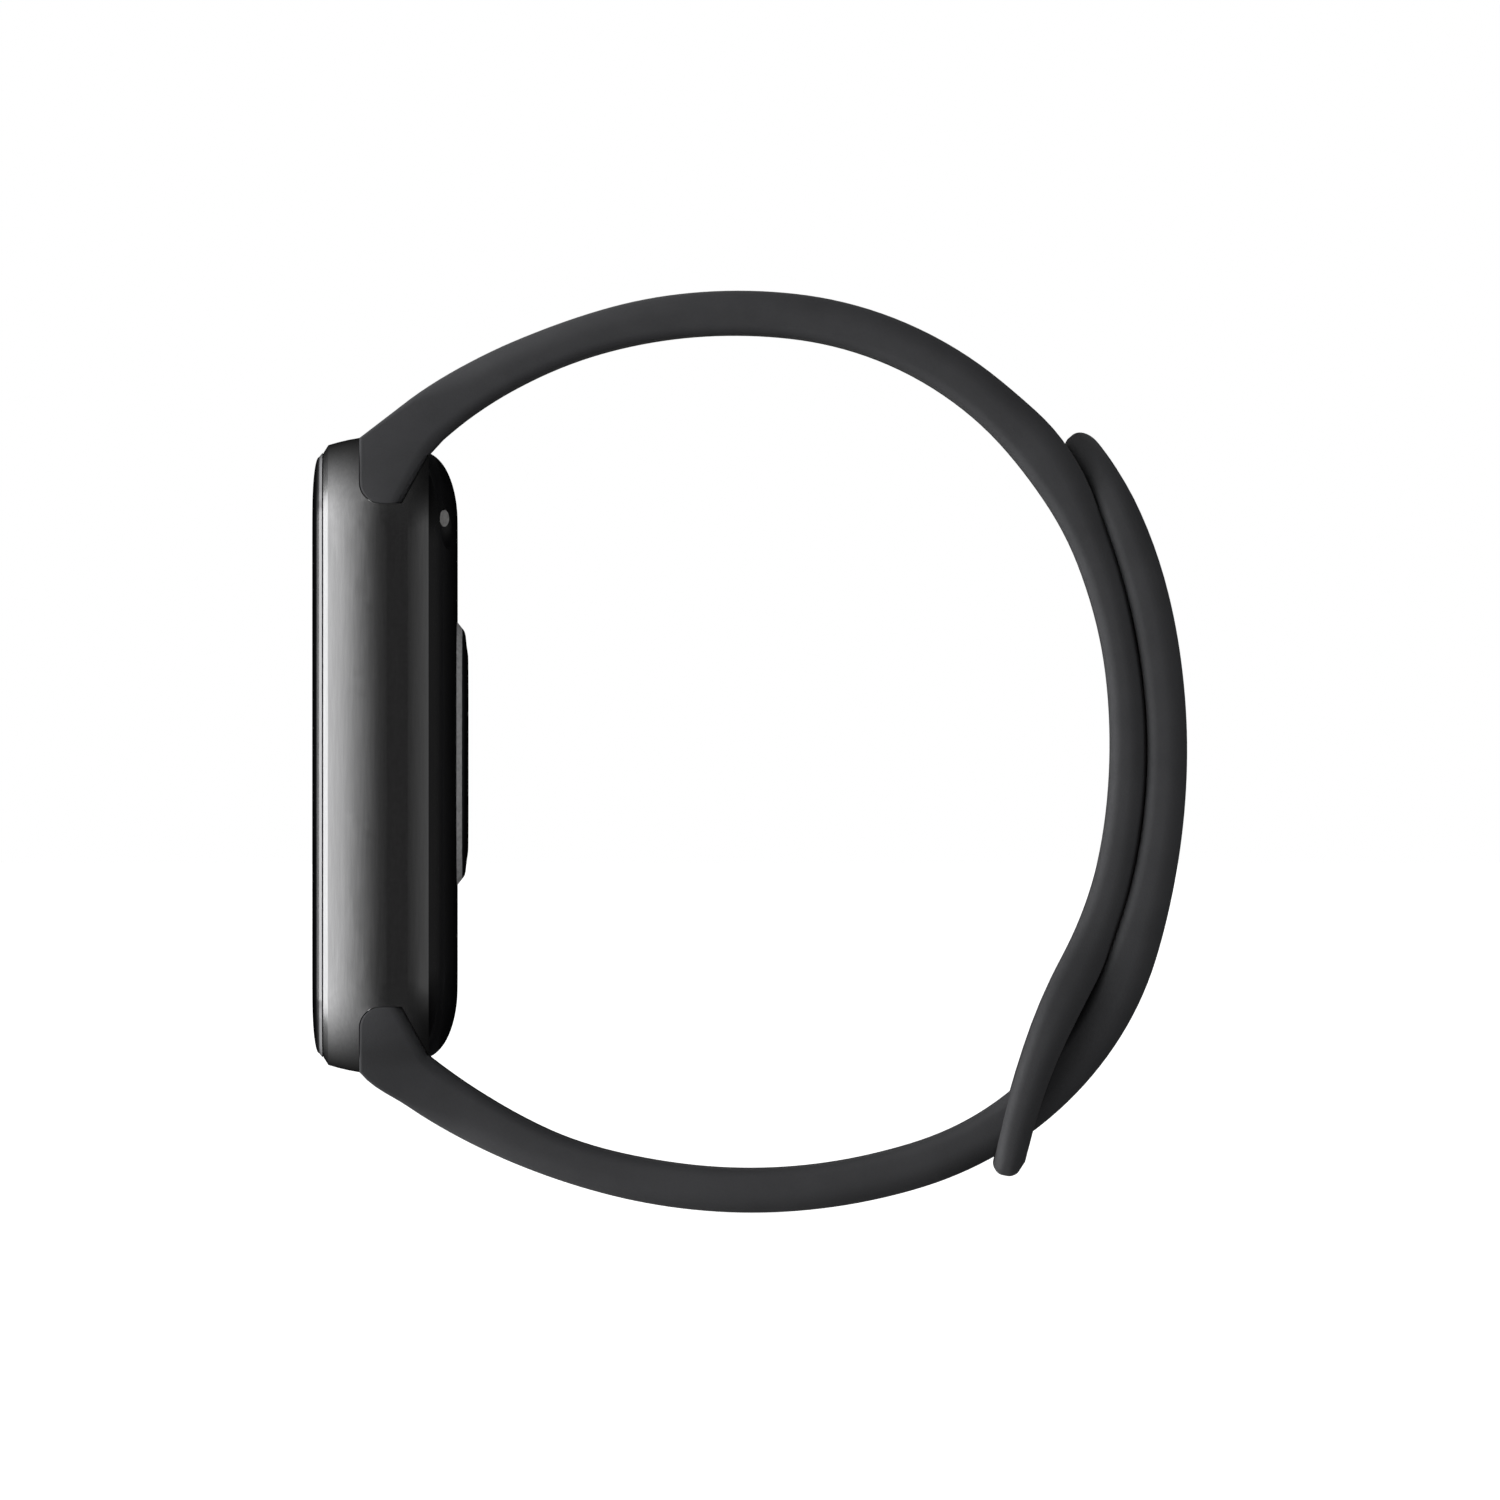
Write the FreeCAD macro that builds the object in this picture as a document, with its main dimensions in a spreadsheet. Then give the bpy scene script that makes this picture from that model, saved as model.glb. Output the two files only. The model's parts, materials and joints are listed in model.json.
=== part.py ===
"""Fitness tracker band, closed as it is worn.

Frame, in millimetres: the origin is the centre of the wrist, +Y runs along the wrist, the display
faces -X, the sensor faces the wrist towards +X, and +Z is up.
"""
import FreeCAD, Part
import Sketcher
import math
import os

from FreeCAD import Placement, Rotation, Vector

# ---------------------------------------------------------------- driving dimensions

SIZES = {
    # case
    "case_width": 25.4, "case_length": 42.8, "case_corner": 6.2,
    "frame_front_x": -31.27, "frame_back_x": -24.2,
    "frame_chamfer_depth": 0.32, "frame_chamfer_width": 0.4,
    # the side wall is flat between these, and one shallow arc either way from there
    "frame_flat_front_x": -27.0, "frame_flat_back_x": -25.6,
    "frame_front_bulge": 12.5, "frame_rear_bulge": 6.5,
    "screen_recess_width": 21.4, "screen_recess_length": 38.3, "screen_recess_corner": 3.8,
    "screen_recess_depth": 1.67,
    "cavity_width": 22.8, "cavity_length": 31.7, "cavity_corner": 2.4,
    "screw_y": 9.7, "screw_z": 14.6, "boss_wall": 1.1, "boss_depth": 3.2, "boss_hole_radius": 0.45,
    # end notch that a strap root sits in
    "notch_front_x": -28.87, "notch_floor_z": 16.85, "notch_corner": 1.4,
    "notch_back_x": -25.98, "notch_lip_x": -24.1, "notch_lip_z": 20.3, "root_clearance": 0.08,
    # back cover
    "cover_shoulder_height": 2.2, "cover_shoulder_end": 4.6, "cover_shoulder_side": 4.2,
    "cover_flat_x": -22.35, "cover_flat_width": 16.8, "cover_flat_length": 31.4,
    "cover_flat_corner": 2.2,
    "cover_recess_width": 20.8, "cover_recess_length": 29.6, "cover_recess_corner": 2.4,
    "cover_recess_depth": 0.8,
    "tongue_width": 22.6, "tongue_length": 31.5, "tongue_wall": 0.7, "tongue_depth": 1.1,
    "window_width": 8.7, "window_low_z": 17.5, "window_high_z": 19.3,
    # cover glass
    "glass_width": 23.1, "glass_length": 40.5, "glass_corner": 5.05,
    "glass_front_x": -32.02, "glass_edge_x": -31.58, "glass_back_x": -31.35, "glass_edge_inset": 0.28,
    "glass_flat_width": 16.4, "glass_flat_length": 33.1, "glass_flat_corner": 2.4,
    # charging contacts
    "contact_radius": 0.56, "contact_length": 0.6, "contact_x": -23.15, "contact_y": 10.95,
    "contact_z": 15.85, "contact_tilt": 34.0,
    "dimple_half_depth": 0.75, "dimple_half_width": 0.95, "dimple_half_length": 1.5,
    "dimple_centre_out": 0.4, "dimple_centre_below": 0.6,
    # straps
    "strap_root_half": 12.7, "upper_strap_half": 8.0, "lower_strap_half": 7.7, "keeper_half": 10.5,
    "keeper_slot_width": 16.2, "keeper_slot_clearance": 0.14,
    "hole_length": 5.4, "hole_width": 3.8, "hole_pitch": 7.0, "hole_count": 7,
    "hole_first": 33.0, "stud_station": 85.6,
    "stud_neck_radius": 1.25, "stud_head_radius": 1.7, "stud_head_height": 0.8,
    "stud_grip": 1.35, "stud_cap_radius": 3.6, "stud_cap_height": 0.7,
    "peel_station": 73.2,
    # strap connectors and quick-release latches
    "connector_width": 14.7, "connector_top_z": 19.95, "anchor_width": 12.0,
    "anchor_thickness": 1.0, "anchor_length": 5.0,
    "latch_head_width": 8.4, "latch_flange_width": 10.4, "latch_low_z": 17.65,
    "latch_high_z": 19.15, "latch_flange_back_x": -26.6, "latch_flange_front_x": -25.9,
    "latch_face_x": -23.15, "latch_chamber_x": -27.9, "latch_clearance": 0.1,
    "latch_lip_x": -25.75,
    "latch_spring_radius": 0.45, "latch_spring_wire": 0.09, "latch_spring_coils": 4,
    "latch_spring_y": 3.0,
    # vibration motor
    "motor_y": -5.5, "motor_z": 10.2, "motor_radius": 4.0, "motor_front_x": -28.8,
    "motor_length": 2.6, "motor_wall": 0.2, "motor_shaft_radius": 0.4,
    "rotor_radius": 3.3, "rotor_hub_radius": 0.9, "rotor_bore_radius": 0.45,
    "rotor_front_x": -28.2, "rotor_length": 1.0,
}

# Flat pieces: (width along Y, length along Z, corner radius, thickness along X, front x, y, z)
PLATES = {
    "display_panel": (20.9, 37.8, 3.5, 1.2, -31.35, 0.0, 0.0),
    "inner_chassis": (22.5, 31.4, 2.2, 0.6, -29.55, 0.0, 0.0),
    "battery": (18.0, 17.5, 1.2, 3.2, -28.85, 0.0, -3.5),
    "battery_lead": (3.0, 1.0, 0.3, 1.0, -26.4, 6.5, 5.8),
    "main_board": (20.6, 29.2, 1.5, 0.8, -25.4, 0.0, 0.0),
    "shield_can": (8.4, 8.4, 0.6, 0.55, -24.6, -4.6, -8.6),
    "processor": (5.4, 5.4, 0.3, 0.36, -24.6, -4.6, -8.6),
    "accelerometer": (2.6, 2.6, 0.2, 0.8, -24.6, 5.4, -9.6),
    "antenna": (16.0, 1.0, 0.3, 0.7, -24.6, 0.0, 13.4),
    "sensor_board": (10.6, 15.4, 5.0, 0.45, -24.0, 0.0, 0.1),
    "sensor_connector": (4.0, 1.4, 0.2, 0.6, -24.6, 0.0, 1.6),
    "light_baffle": (9.4, 14.2, 4.5, 0.9, -23.4, 0.0, 0.1),
    "display_gasket": (22.6, 39.9, 4.8, 0.08, -31.35, 0.0, 0.0),
    "cover_seal": (22.64, 31.54, 2.3, 0.4, -25.0, 0.0, 0.0),
    "display_flex": (6.0, 0.2, 0.05, 4.75, -30.15, 0.0, -13.8),
}

SENSOR_RING = {"width": 12.8, "length": 17.7, "corner": 6.2, "front_x": -22.35}
SENSOR_WINDOW = {"width": 12.1, "length": 16.8, "corner": 5.85, "back_x": -22.0, "face_x": -21.65,
                 "flat_width": 7.6, "flat_length": 12.2, "flat_corner": 3.6}
SENSOR_OPENING = {"width": 9.8, "length": 14.6, "corner": 4.7}
SENSOR_Z = 0.1

# Wells in the light baffle: (y, z, half width, half length)
LAMP_WELLS = [(-2.0, 0.1, 1.1, 1.1), (2.0, 0.1, 1.1, 1.1)]
DIODE_WELLS = [(0.0, 4.0, 1.5, 1.5), (0.0, -3.8, 1.5, 1.5)]

# Each strap's centre line: where it starts, its heading in degrees from +X towards +Z, and its
# arcs as (radius, length); a negative radius turns clockwise.
UPPER_START = (-25.3, 21.75, 41.4)
UPPER_ARCS = [(-26.7, 3.4), (-33.9, 24.2), (-24.4, 27.3), (-38.7, 20.5), (-26.7, 7.8), (48.0, 13.7)]
LOWER_START = (-25.4, -21.5, -37.4)
LOWER_ARCS = [(37.5, 35.6), (22.4, 21.0), (41.8, 30.5), (20.0, 5.0)]

# Strap thickness at stations along the centre line: (distance, thickness)
UPPER_THICKNESS = [(0, 3.6), (4.3, 3.1), (12, 2.8), (24, 2.95), (36, 2.98), (47, 2.98), (53, 2.6),
                   (60, 2.22), (68, 2.36), (76, 2.42), (80, 2.58), (85, 2.7), (92, 2.16), (97, 2.05)]
LOWER_THICKNESS = [(0, 3.5), (12, 2.9), (26, 2.94), (38, 3.0), (50, 3.2), (55, 3.15), (62, 2.7),
                   (68, 2.55), (76, 2.58), (84, 2.52), (88, 2.28), (92, 1.9)]

# How steeply a strap's outer face climbs where it leaves the case
ROOT_SHOULDER_SLOPE = 0.79

# A strap's root follows the case's rounded corner this far round, then narrows to the strap's own
# width: (extra half width, height) at the points on the way
ROOT_TURN = math.radians(52)
ROOT_NECK = [(0.35, 24.5), (0.0, 29.5), (0.0, 33.0)]

# Plan of the lower strap's free end, as parts of its half width
TIP_RISE = 0.86
TIP_FULLNESS = 1.15

doc = FreeCAD.newDocument("FitnessTrackerBand")
PARTS = []


# ---------------------------------------------------------------- spreadsheet

def add_cells(sheet, row, values):
    """Write named plain numbers down two columns; return the next free row."""
    for name, value in values.items():
        sheet.set("A%d" % row, name)
        sheet.set("B%d" % row, str(value))
        sheet.setAlias("B%d" % row, name)
        row += 1
    return row


def make_sheet():
    sheet = doc.addObject("Spreadsheet::Sheet", "Sizes")
    row = add_cells(sheet, 1, SIZES)
    plate_fields = ("width", "length", "corner", "thickness", "front_x", "y", "z")
    for plate, numbers in PLATES.items():
        cells = {"%s_%s" % (plate, field): value for field, value in zip(plate_fields, numbers)}
        row = add_cells(sheet, row, cells)
    row = add_cells(sheet, row, {"sensor_ring_" + key: v for key, v in SENSOR_RING.items()})
    row = add_cells(sheet, row, {"sensor_window_" + key: v for key, v in SENSOR_WINDOW.items()})
    add_cells(sheet, row, {"sensor_opening_" + key: v for key, v in SENSOR_OPENING.items()})
    doc.recompute()
    return sheet


SHEET = make_sheet()


def size(name):
    return float(SHEET.get(name))


# ---------------------------------------------------------------- outlines

def line(a, b):
    return Part.LineSegment(Vector(a[0], a[1], 0), Vector(b[0], b[1], 0))


def arc(a, b, c):
    return Part.Arc(Vector(a[0], a[1], 0), Vector(b[0], b[1], 0), Vector(c[0], c[1], 0))


def circle(x, y, radius):
    return Part.Circle(Vector(x, y, 0), Vector(0, 0, 1), radius)


def closed(points):
    """Straight lines round the points and back to the first."""
    return [line(a, b) for a, b in zip(points, points[1:] + points[:1])]


def draw(sketch, edges):
    for edge in edges:
        sketch.addGeometry(edge, False)


# ---------------------------------------------------------------- PartDesign helpers

def new_body(label):
    body = doc.addObject("PartDesign::Body", label)
    body.Label = label
    PARTS.append(body)
    return body


def new_sketch(body, role, name, along=None):
    """A sketch on one of the body's origin planes, moved along the plane's normal by a formula."""
    sketch = body.newObject("Sketcher::SketchObject", name)
    plane = next(f for f in body.Origin.OriginFeatures if f.Role == role)
    sketch.AttachmentSupport = [(plane, "")]
    sketch.MapMode = "FlatFace"
    if along:
        sketch.setExpression("AttachmentOffset.Base.z", along)
    return sketch


def bind(sketch, constraint, formula):
    sketch.setExpression("Constraints." + constraint, formula)


def rounded_rectangle(sketch, tag, width, height, corner):
    """Closed, centred rounded rectangle; its sizes are formulas over the spreadsheet."""
    first = sketch.GeometryCount
    w, h, r = 6.0, 9.0, 1.0
    corners = [(w - r, h - r, 0), (r - w, h - r, 90), (r - w, r - h, 180), (w - r, r - h, 270)]
    for x, y, angle in corners:
        start = math.radians(angle)
        draw(sketch, [Part.ArcOfCircle(circle(x, y, r), start, start + math.pi / 2)])
    draw(sketch, [line((w - r, h), (r - w, h)), line((-w, h - r), (-w, r - h)),
                  line((r - w, -h), (w - r, -h)), line((w, r - h), (w, h - r))])
    top, left, bottom, right = range(first + 4, first + 8)
    rule = Sketcher.Constraint
    for i, flat in enumerate((top, left, bottom, right)):
        sketch.addConstraint(rule("Tangent", first + i, 2, flat, 1))
        sketch.addConstraint(rule("Tangent", flat, 2, first + (i + 1) % 4, 1))
    for flat in (top, bottom):
        sketch.addConstraint(rule("Horizontal", flat))
    for flat in (left, right):
        sketch.addConstraint(rule("Vertical", flat))
    for i in (1, 2, 3):
        sketch.addConstraint(rule("Equal", first, first + i))
    sketch.addConstraint(rule("Symmetric", first, 3, first + 2, 3, -1, 1))
    named = ((tag + "_width", rule("DistanceX", left, 1, right, 1, 2 * w), width),
             (tag + "_height", rule("DistanceY", bottom, 1, top, 1, 2 * h), height),
             (tag + "_corner", rule("Radius", first, r), corner))
    for name, constraint, formula in named:
        index = sketch.addConstraint(constraint)
        sketch.renameConstraint(index, name)
        bind(sketch, name, formula)


def pad(body, sketch, length, symmetric=False, reverse=False):
    feature = body.newObject("PartDesign::Pad", "Pad")
    feature.Profile = sketch
    feature.Midplane = symmetric
    feature.Reversed = reverse
    feature.setExpression("Length", length)
    doc.recompute()
    return feature


def pocket(body, sketch, length, symmetric=False, reverse=True):
    """Cut a sketch out of the body; stops if it took nothing away."""
    before = body.Shape.Volume
    feature = body.newObject("PartDesign::Pocket", "Pocket")
    feature.Profile = sketch
    feature.Midplane = symmetric
    feature.Reversed = reverse
    feature.setExpression("Length", length)
    doc.recompute()
    if not body.Shape.Volume < before - 1e-4:
        raise RuntimeError("%s: %s cuts nothing" % (body.Label, sketch.Name))
    return feature


def plate(label):
    """A flat rounded plate facing X, bound to its own row of cells."""
    body = new_body(label)
    cell = "Sizes.%s_" % label
    sketch = new_sketch(body, "YZ_Plane", label + "_outline", cell + "front_x")
    sketch.setExpression("AttachmentOffset.Base.x", cell + "y")
    sketch.setExpression("AttachmentOffset.Base.y", cell + "z")
    rounded_rectangle(sketch, "outline", cell + "width", cell + "length", cell + "corner")
    pad(body, sketch, cell + "thickness")
    return body


def plate_opening(body, name, start, depth, width, length, corner, y="0", z="0"):
    """Cut a rounded rectangle from x = start towards +X."""
    sketch = new_sketch(body, "YZ_Plane", name, start)
    sketch.setExpression("AttachmentOffset.Base.x", y)
    sketch.setExpression("AttachmentOffset.Base.y", z)
    rounded_rectangle(sketch, "cut", width, length, corner)
    pocket(body, sketch, depth)
    return body


def loft(body, sections, z=0.0):
    """Blend rounded rectangles, each (x, width, length, corner) as formulas, into one solid."""
    sketches = []
    for i, (x, width, length, corner) in enumerate(sections):
        sketch = new_sketch(body, "YZ_Plane", "%s_section_%d" % (body.Label, i), x)
        sketch.setExpression("AttachmentOffset.Base.y", str(z))
        rounded_rectangle(sketch, "section", width, length, corner)
        sketches.append(sketch)
    doc.recompute()
    feature = body.newObject("PartDesign::AdditiveLoft", "Loft")
    feature.Profile = sketches[0]
    feature.Sections = [(sketch, [""]) for sketch in sketches[1:]]
    doc.recompute()
    return feature


def dome_sections(base_x, rise, flat, drop, angles):
    """Sections of a shoulder that is a quarter ellipse from its base to its flat face.

    flat and drop are (width, length, corner) formulas: the flat face, and what the base adds.
    """
    sections = []
    for angle in angles:
        up = math.sin(math.radians(angle))
        out = math.cos(math.radians(angle))
        sizes = ["%s + %.6f * (%s)" % (face, out, extra) for face, extra in zip(flat, drop)]
        sections.append(["%s + %.6f * (%s)" % (base_x, up, rise)] + sizes)
    return sections


# ---------------------------------------------------------------- case

def notch_outline(end, inset, far=24.6):
    """Outline in XZ of the notch at one end of the case (end = 1 top, -1 bottom)."""
    front = size("notch_front_x") + inset
    floor = size("notch_floor_z") + inset
    corner = size("notch_corner") - inset
    back = size("notch_back_x") - inset * 0.6
    slope = (size("notch_lip_x") - size("notch_back_x")) / (size("notch_lip_z") - size("notch_floor_z"))
    lean = back + slope * (far - size("notch_floor_z"))
    chord = corner * (1 - math.sqrt(0.5))
    points = {
        "front_far": (front, far), "front_low": (front, floor + corner),
        "corner_mid": (front + chord, floor + chord), "floor_front": (front + corner, floor),
        "floor_back": (back + slope * inset, floor), "back_far": (lean, far),
    }
    return {name: (x, end * z) for name, (x, z) in points.items()}


def notch_edges(p):
    """Notch walls from the outer front corner, round the floor, to the back lip."""
    return [line(p["front_far"], p["front_low"]),
            arc(p["front_low"], p["corner_mid"], p["floor_front"]),
            line(p["floor_front"], p["floor_back"]), line(p["floor_back"], p["back_far"])]


def cut_notches(body):
    for end, name in ((1, "upper_notch"), (-1, "lower_notch")):
        sketch = new_sketch(body, "XZ_Plane", name)
        p = notch_outline(end, 0.0)
        draw(sketch, notch_edges(p) + [line(p["back_far"], p["front_far"])])
        pocket(body, sketch, "Sizes.case_width + 2", symmetric=True)


def frame_section(x, flat_x, bulge, trim="0"):
    """One section of the frame, drawn in by the side wall's arc and trimmed by a formula."""
    inset = "((%s - %s)^2 / %s + 2 * %s)" % (x, flat_x, bulge, trim)
    return (x, "Sizes.case_width - " + inset, "Sizes.case_length - " + inset,
            "Sizes.case_corner - %s / 2" % inset)


def frame_arc(body, x0, x1, flat_x, bulge, steps):
    """Stretch of the frame between x0 and x1, with its side walls on the arc."""
    places = ["(%s + %g * (%s - %s))" % (x0, i / steps, x1, x0) for i in range(steps + 1)]
    loft(body, [frame_section(x, flat_x, bulge) for x in places])


def mid_frame():
    body = new_body("mid_frame")
    front = ("Sizes.frame_flat_front_x", "Sizes.frame_front_bulge")
    rear = ("Sizes.frame_flat_back_x", "Sizes.frame_rear_bulge")
    lip = "(Sizes.frame_front_x + Sizes.frame_chamfer_depth)"
    loft(body, [frame_section("Sizes.frame_front_x", *front, trim="Sizes.frame_chamfer_width"),
                frame_section(lip, *front)])
    frame_arc(body, lip, front[0], *front, 4)
    flat = new_sketch(body, "YZ_Plane", "frame_flat", front[0])
    rounded_rectangle(flat, "flat", "Sizes.case_width", "Sizes.case_length", "Sizes.case_corner")
    pad(body, flat, "%s - %s" % (rear[0], front[0]))
    frame_arc(body, rear[0], "Sizes.frame_back_x", *rear, 2)
    cut_notches(body)
    plate_opening(body, "screen_recess", "Sizes.frame_front_x", "Sizes.screen_recess_depth",
                  "Sizes.screen_recess_width", "Sizes.screen_recess_length",
                  "Sizes.screen_recess_corner")
    plate_opening(body, "cavity", "Sizes.frame_front_x", "8",
                  "Sizes.cavity_width", "Sizes.cavity_length", "Sizes.cavity_corner")
    add_bosses(body)
    cut_button_windows(body, "Sizes.notch_back_x - 0.2")
    return body


def boss_centres():
    return [(sy * size("screw_y"), sz * size("screw_z")) for sy in (-1, 1) for sz in (-1, 1)]


def add_bosses(body):
    """Four screw posts in the cavity's corners, with pilot holes."""
    front = "Sizes.inner_chassis_front_x + Sizes.inner_chassis_thickness"
    posts = new_sketch(body, "YZ_Plane", "screw_posts", front)
    holes = new_sketch(body, "YZ_Plane", "screw_pilots", front)
    for y, z in boss_centres():
        side = math.copysign(1, y)
        end = math.copysign(1, z)
        near_y = y - side * size("boss_wall")
        near_z = z - end * size("boss_wall")
        wall_y = side * (size("cavity_width") / 2 + 0.3)
        wall_z = end * (size("cavity_length") / 2 + 0.3)
        draw(posts, closed([(near_y, near_z), (wall_y, near_z), (wall_y, wall_z), (near_y, wall_z)]))
        draw(holes, [circle(y, z, size("boss_hole_radius"))])
    pad(body, posts, "Sizes.boss_depth")
    pocket(body, holes, "Sizes.boss_depth - 0.6")


def back_cover():
    body = new_body("back_cover")
    flat = ("Sizes.cover_flat_width", "Sizes.cover_flat_length", "Sizes.cover_flat_corner")
    drop = ("2 * Sizes.cover_shoulder_side", "2 * Sizes.cover_shoulder_end", "3.8")
    base = "Sizes.cover_flat_x - Sizes.cover_shoulder_height"
    height = size("cover_shoulder_height")
    up = height - (size("cover_flat_x") - size("frame_back_x"))
    base_angle = math.degrees(math.asin(up / height))
    loft(body, dome_sections(base, "Sizes.cover_shoulder_height", flat, drop,
                             (base_angle, 30, 50, 68, 80, 90)))
    plate_opening(body, "recess", "Sizes.frame_back_x", "Sizes.cover_recess_depth",
                  "Sizes.cover_recess_width", "Sizes.cover_recess_length", "Sizes.cover_recess_corner")
    tongue = new_sketch(body, "YZ_Plane", "tongue", "Sizes.frame_back_x")
    rounded_rectangle(tongue, "outer", "Sizes.tongue_width", "Sizes.tongue_length", "2.2")
    wall = "2 * Sizes.tongue_wall"
    rounded_rectangle(tongue, "inner", "Sizes.tongue_width - " + wall,
                      "Sizes.tongue_length - " + wall, "1.5")
    pad(body, tongue, "Sizes.tongue_depth", reverse=True)
    groove = new_sketch(body, "YZ_Plane", "seal_groove", "Sizes.cover_seal_front_x")
    rounded_rectangle(groove, "outer", "Sizes.tongue_width + 1", "Sizes.tongue_length + 1", "2.2")
    rounded_rectangle(groove, "inner", "Sizes.tongue_width - 0.7", "Sizes.tongue_length - 0.7", "1.9")
    pocket(body, groove, "Sizes.cover_seal_thickness")
    plate_opening(body, "sensor_opening", "Sizes.frame_back_x", "4", "Sizes.sensor_opening_width",
                  "Sizes.sensor_opening_length", "Sizes.sensor_opening_corner", z=str(SENSOR_Z))
    cut_button_windows(body, "Sizes.frame_back_x - 0.2")
    cut_contact_dimples(body)
    return body


def cut_button_windows(body, start):
    """Openings at both ends that the latch buttons stand in."""
    sketch = new_sketch(body, "YZ_Plane", "button_windows", start)
    half = size("window_width") / 2
    low = size("window_low_z")
    high = size("window_high_z")
    for end in (1, -1):
        z0, z1 = end * low, end * high
        draw(sketch, closed([(-half, z0), (half, z0), (half, z1), (-half, z1)]))
    pocket(body, sketch, "4")


def contact_placement(side, depth):
    """A contact's frame: its Z axis stands out of the shoulder, depth is how far in it starts."""
    tilt = math.radians(size("contact_tilt"))
    outward = Vector(math.cos(tilt), side * math.sin(tilt), 0)
    at = Vector(size("contact_x"), side * size("contact_y"), size("contact_z"))
    return Placement(at - outward * depth, Rotation(Vector(0, 0, 1), outward))


def cut_contact_dimples(body):
    """A dished dimple and a through hole for each charging contact."""
    for side, name in ((-1, "near"), (1, "far")):
        dish = body.newObject("PartDesign::SubtractiveEllipsoid", name + "_dish")
        dish.Radius1 = size("dimple_half_depth")
        dish.Radius2 = size("dimple_half_width")
        dish.Radius3 = size("dimple_half_length")
        spot = contact_placement(side, -size("dimple_centre_out"))
        along = Vector(0, 0, 1)
        outward = spot.Rotation.multVec(along)
        turn = Rotation(outward.cross(along), along, outward, "ZYX")
        dish.Placement = Placement(spot.Base - along * size("dimple_centre_below"), turn)
        hole = body.newObject("PartDesign::SubtractiveCylinder", name + "_contact_hole")
        hole.setExpression("Radius", "Sizes.contact_radius + 0.03")
        hole.setExpression("Height", "Sizes.contact_length + 1.2")
        hole.Placement = contact_placement(side, size("contact_length") + 0.1)
    doc.recompute()


def cover_glass():
    """Glass with a bevelled edge under a shallow dome."""
    body = new_body("cover_glass")
    names = ("width", "length", "corner")
    base = ["Sizes.glass_" + name for name in names]
    trims = ("2 * Sizes.glass_edge_inset", "2 * Sizes.glass_edge_inset", "Sizes.glass_edge_inset")
    edge = ["(%s - %s)" % pair for pair in zip(base, trims)]
    loft(body, [["Sizes.glass_back_x"] + base, ["Sizes.glass_edge_x"] + edge])
    flat = ["Sizes.glass_flat_" + name for name in names]
    drop = ["%s - %s" % pair for pair in zip(edge, flat)]
    rise = "Sizes.glass_front_x - Sizes.glass_edge_x"
    loft(body, dome_sections("Sizes.glass_edge_x", rise, flat, drop, (0, 18, 38, 58, 76, 90)))


def display_gasket():
    body = plate("display_gasket")
    plate_opening(body, "gasket_opening", "Sizes.display_gasket_front_x", "1",
                  "Sizes.screen_recess_width + 0.1", "Sizes.screen_recess_length + 0.1", "3.9")


def cover_seal():
    body = plate("cover_seal")
    plate_opening(body, "seal_opening", "Sizes.cover_seal_front_x", "1",
                  "Sizes.tongue_width - 0.68", "Sizes.tongue_length - 0.68", "1.91")


def inner_chassis():
    body = plate("inner_chassis")
    sketch = new_sketch(body, "YZ_Plane", "chassis_holes", "Sizes.inner_chassis_front_x")
    for y, z in boss_centres():
        draw(sketch, [circle(y, z, 0.5)])
    pocket(body, sketch, "1")
    plate_opening(body, "flex_slot", "Sizes.inner_chassis_front_x", "1", "6.6", "0.8", "0.3",
                  z="Sizes.display_flex_z")
    plate_opening(body, "chassis_window", "Sizes.inner_chassis_front_x", "1", "14", "16", "2",
                  z="-2")


def shield_can():
    body = plate("shield_can")
    plate_opening(body, "can_inside", "Sizes.shield_can_front_x", "Sizes.shield_can_thickness - 0.15",
                  "Sizes.shield_can_width - 0.4", "Sizes.shield_can_length - 0.4", "0.4",
                  y="Sizes.shield_can_y", z="Sizes.shield_can_z")


def sensor_ring():
    """Bright ring that draws in towards the window."""
    body = new_body("sensor_ring")
    loft(body, [("Sizes.sensor_ring_front_x", "Sizes.sensor_ring_width", "Sizes.sensor_ring_length",
                 "Sizes.sensor_ring_corner"),
                ("Sizes.sensor_window_back_x", "Sizes.sensor_window_width",
                 "Sizes.sensor_window_length", "Sizes.sensor_window_corner")], z=SENSOR_Z)
    plate_opening(body, "ring_opening", "Sizes.sensor_ring_front_x", "1", "Sizes.sensor_opening_width",
                  "Sizes.sensor_opening_length", "Sizes.sensor_opening_corner", z=str(SENSOR_Z))


def sensor_window():
    """Clear window over the sensor: a shallow dome with a flat middle."""
    body = new_body("sensor_window")
    names = ("width", "length", "corner")
    base = ["Sizes.sensor_window_" + name for name in names]
    flat = ["Sizes.sensor_window_flat_" + name for name in names]
    drop = ["%s - %s" % pair for pair in zip(base, flat)]
    rise = "Sizes.sensor_window_face_x - Sizes.sensor_window_back_x"
    loft(body, dome_sections("Sizes.sensor_window_back_x", rise, flat, drop, (0, 25, 45, 65, 90)),
         z=SENSOR_Z)


def light_baffle():
    """Black block that keeps the lamps' light from reaching the photodiodes directly."""
    body = plate("light_baffle")
    sketch = new_sketch(body, "YZ_Plane", "wells", "Sizes.light_baffle_front_x")
    for y, z, half_y, half_z in LAMP_WELLS + DIODE_WELLS:
        draw(sketch, closed([(y - half_y, z - half_z), (y + half_y, z - half_z),
                         (y + half_y, z + half_z), (y - half_y, z + half_z)]))
    pocket(body, sketch, "2")


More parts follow.
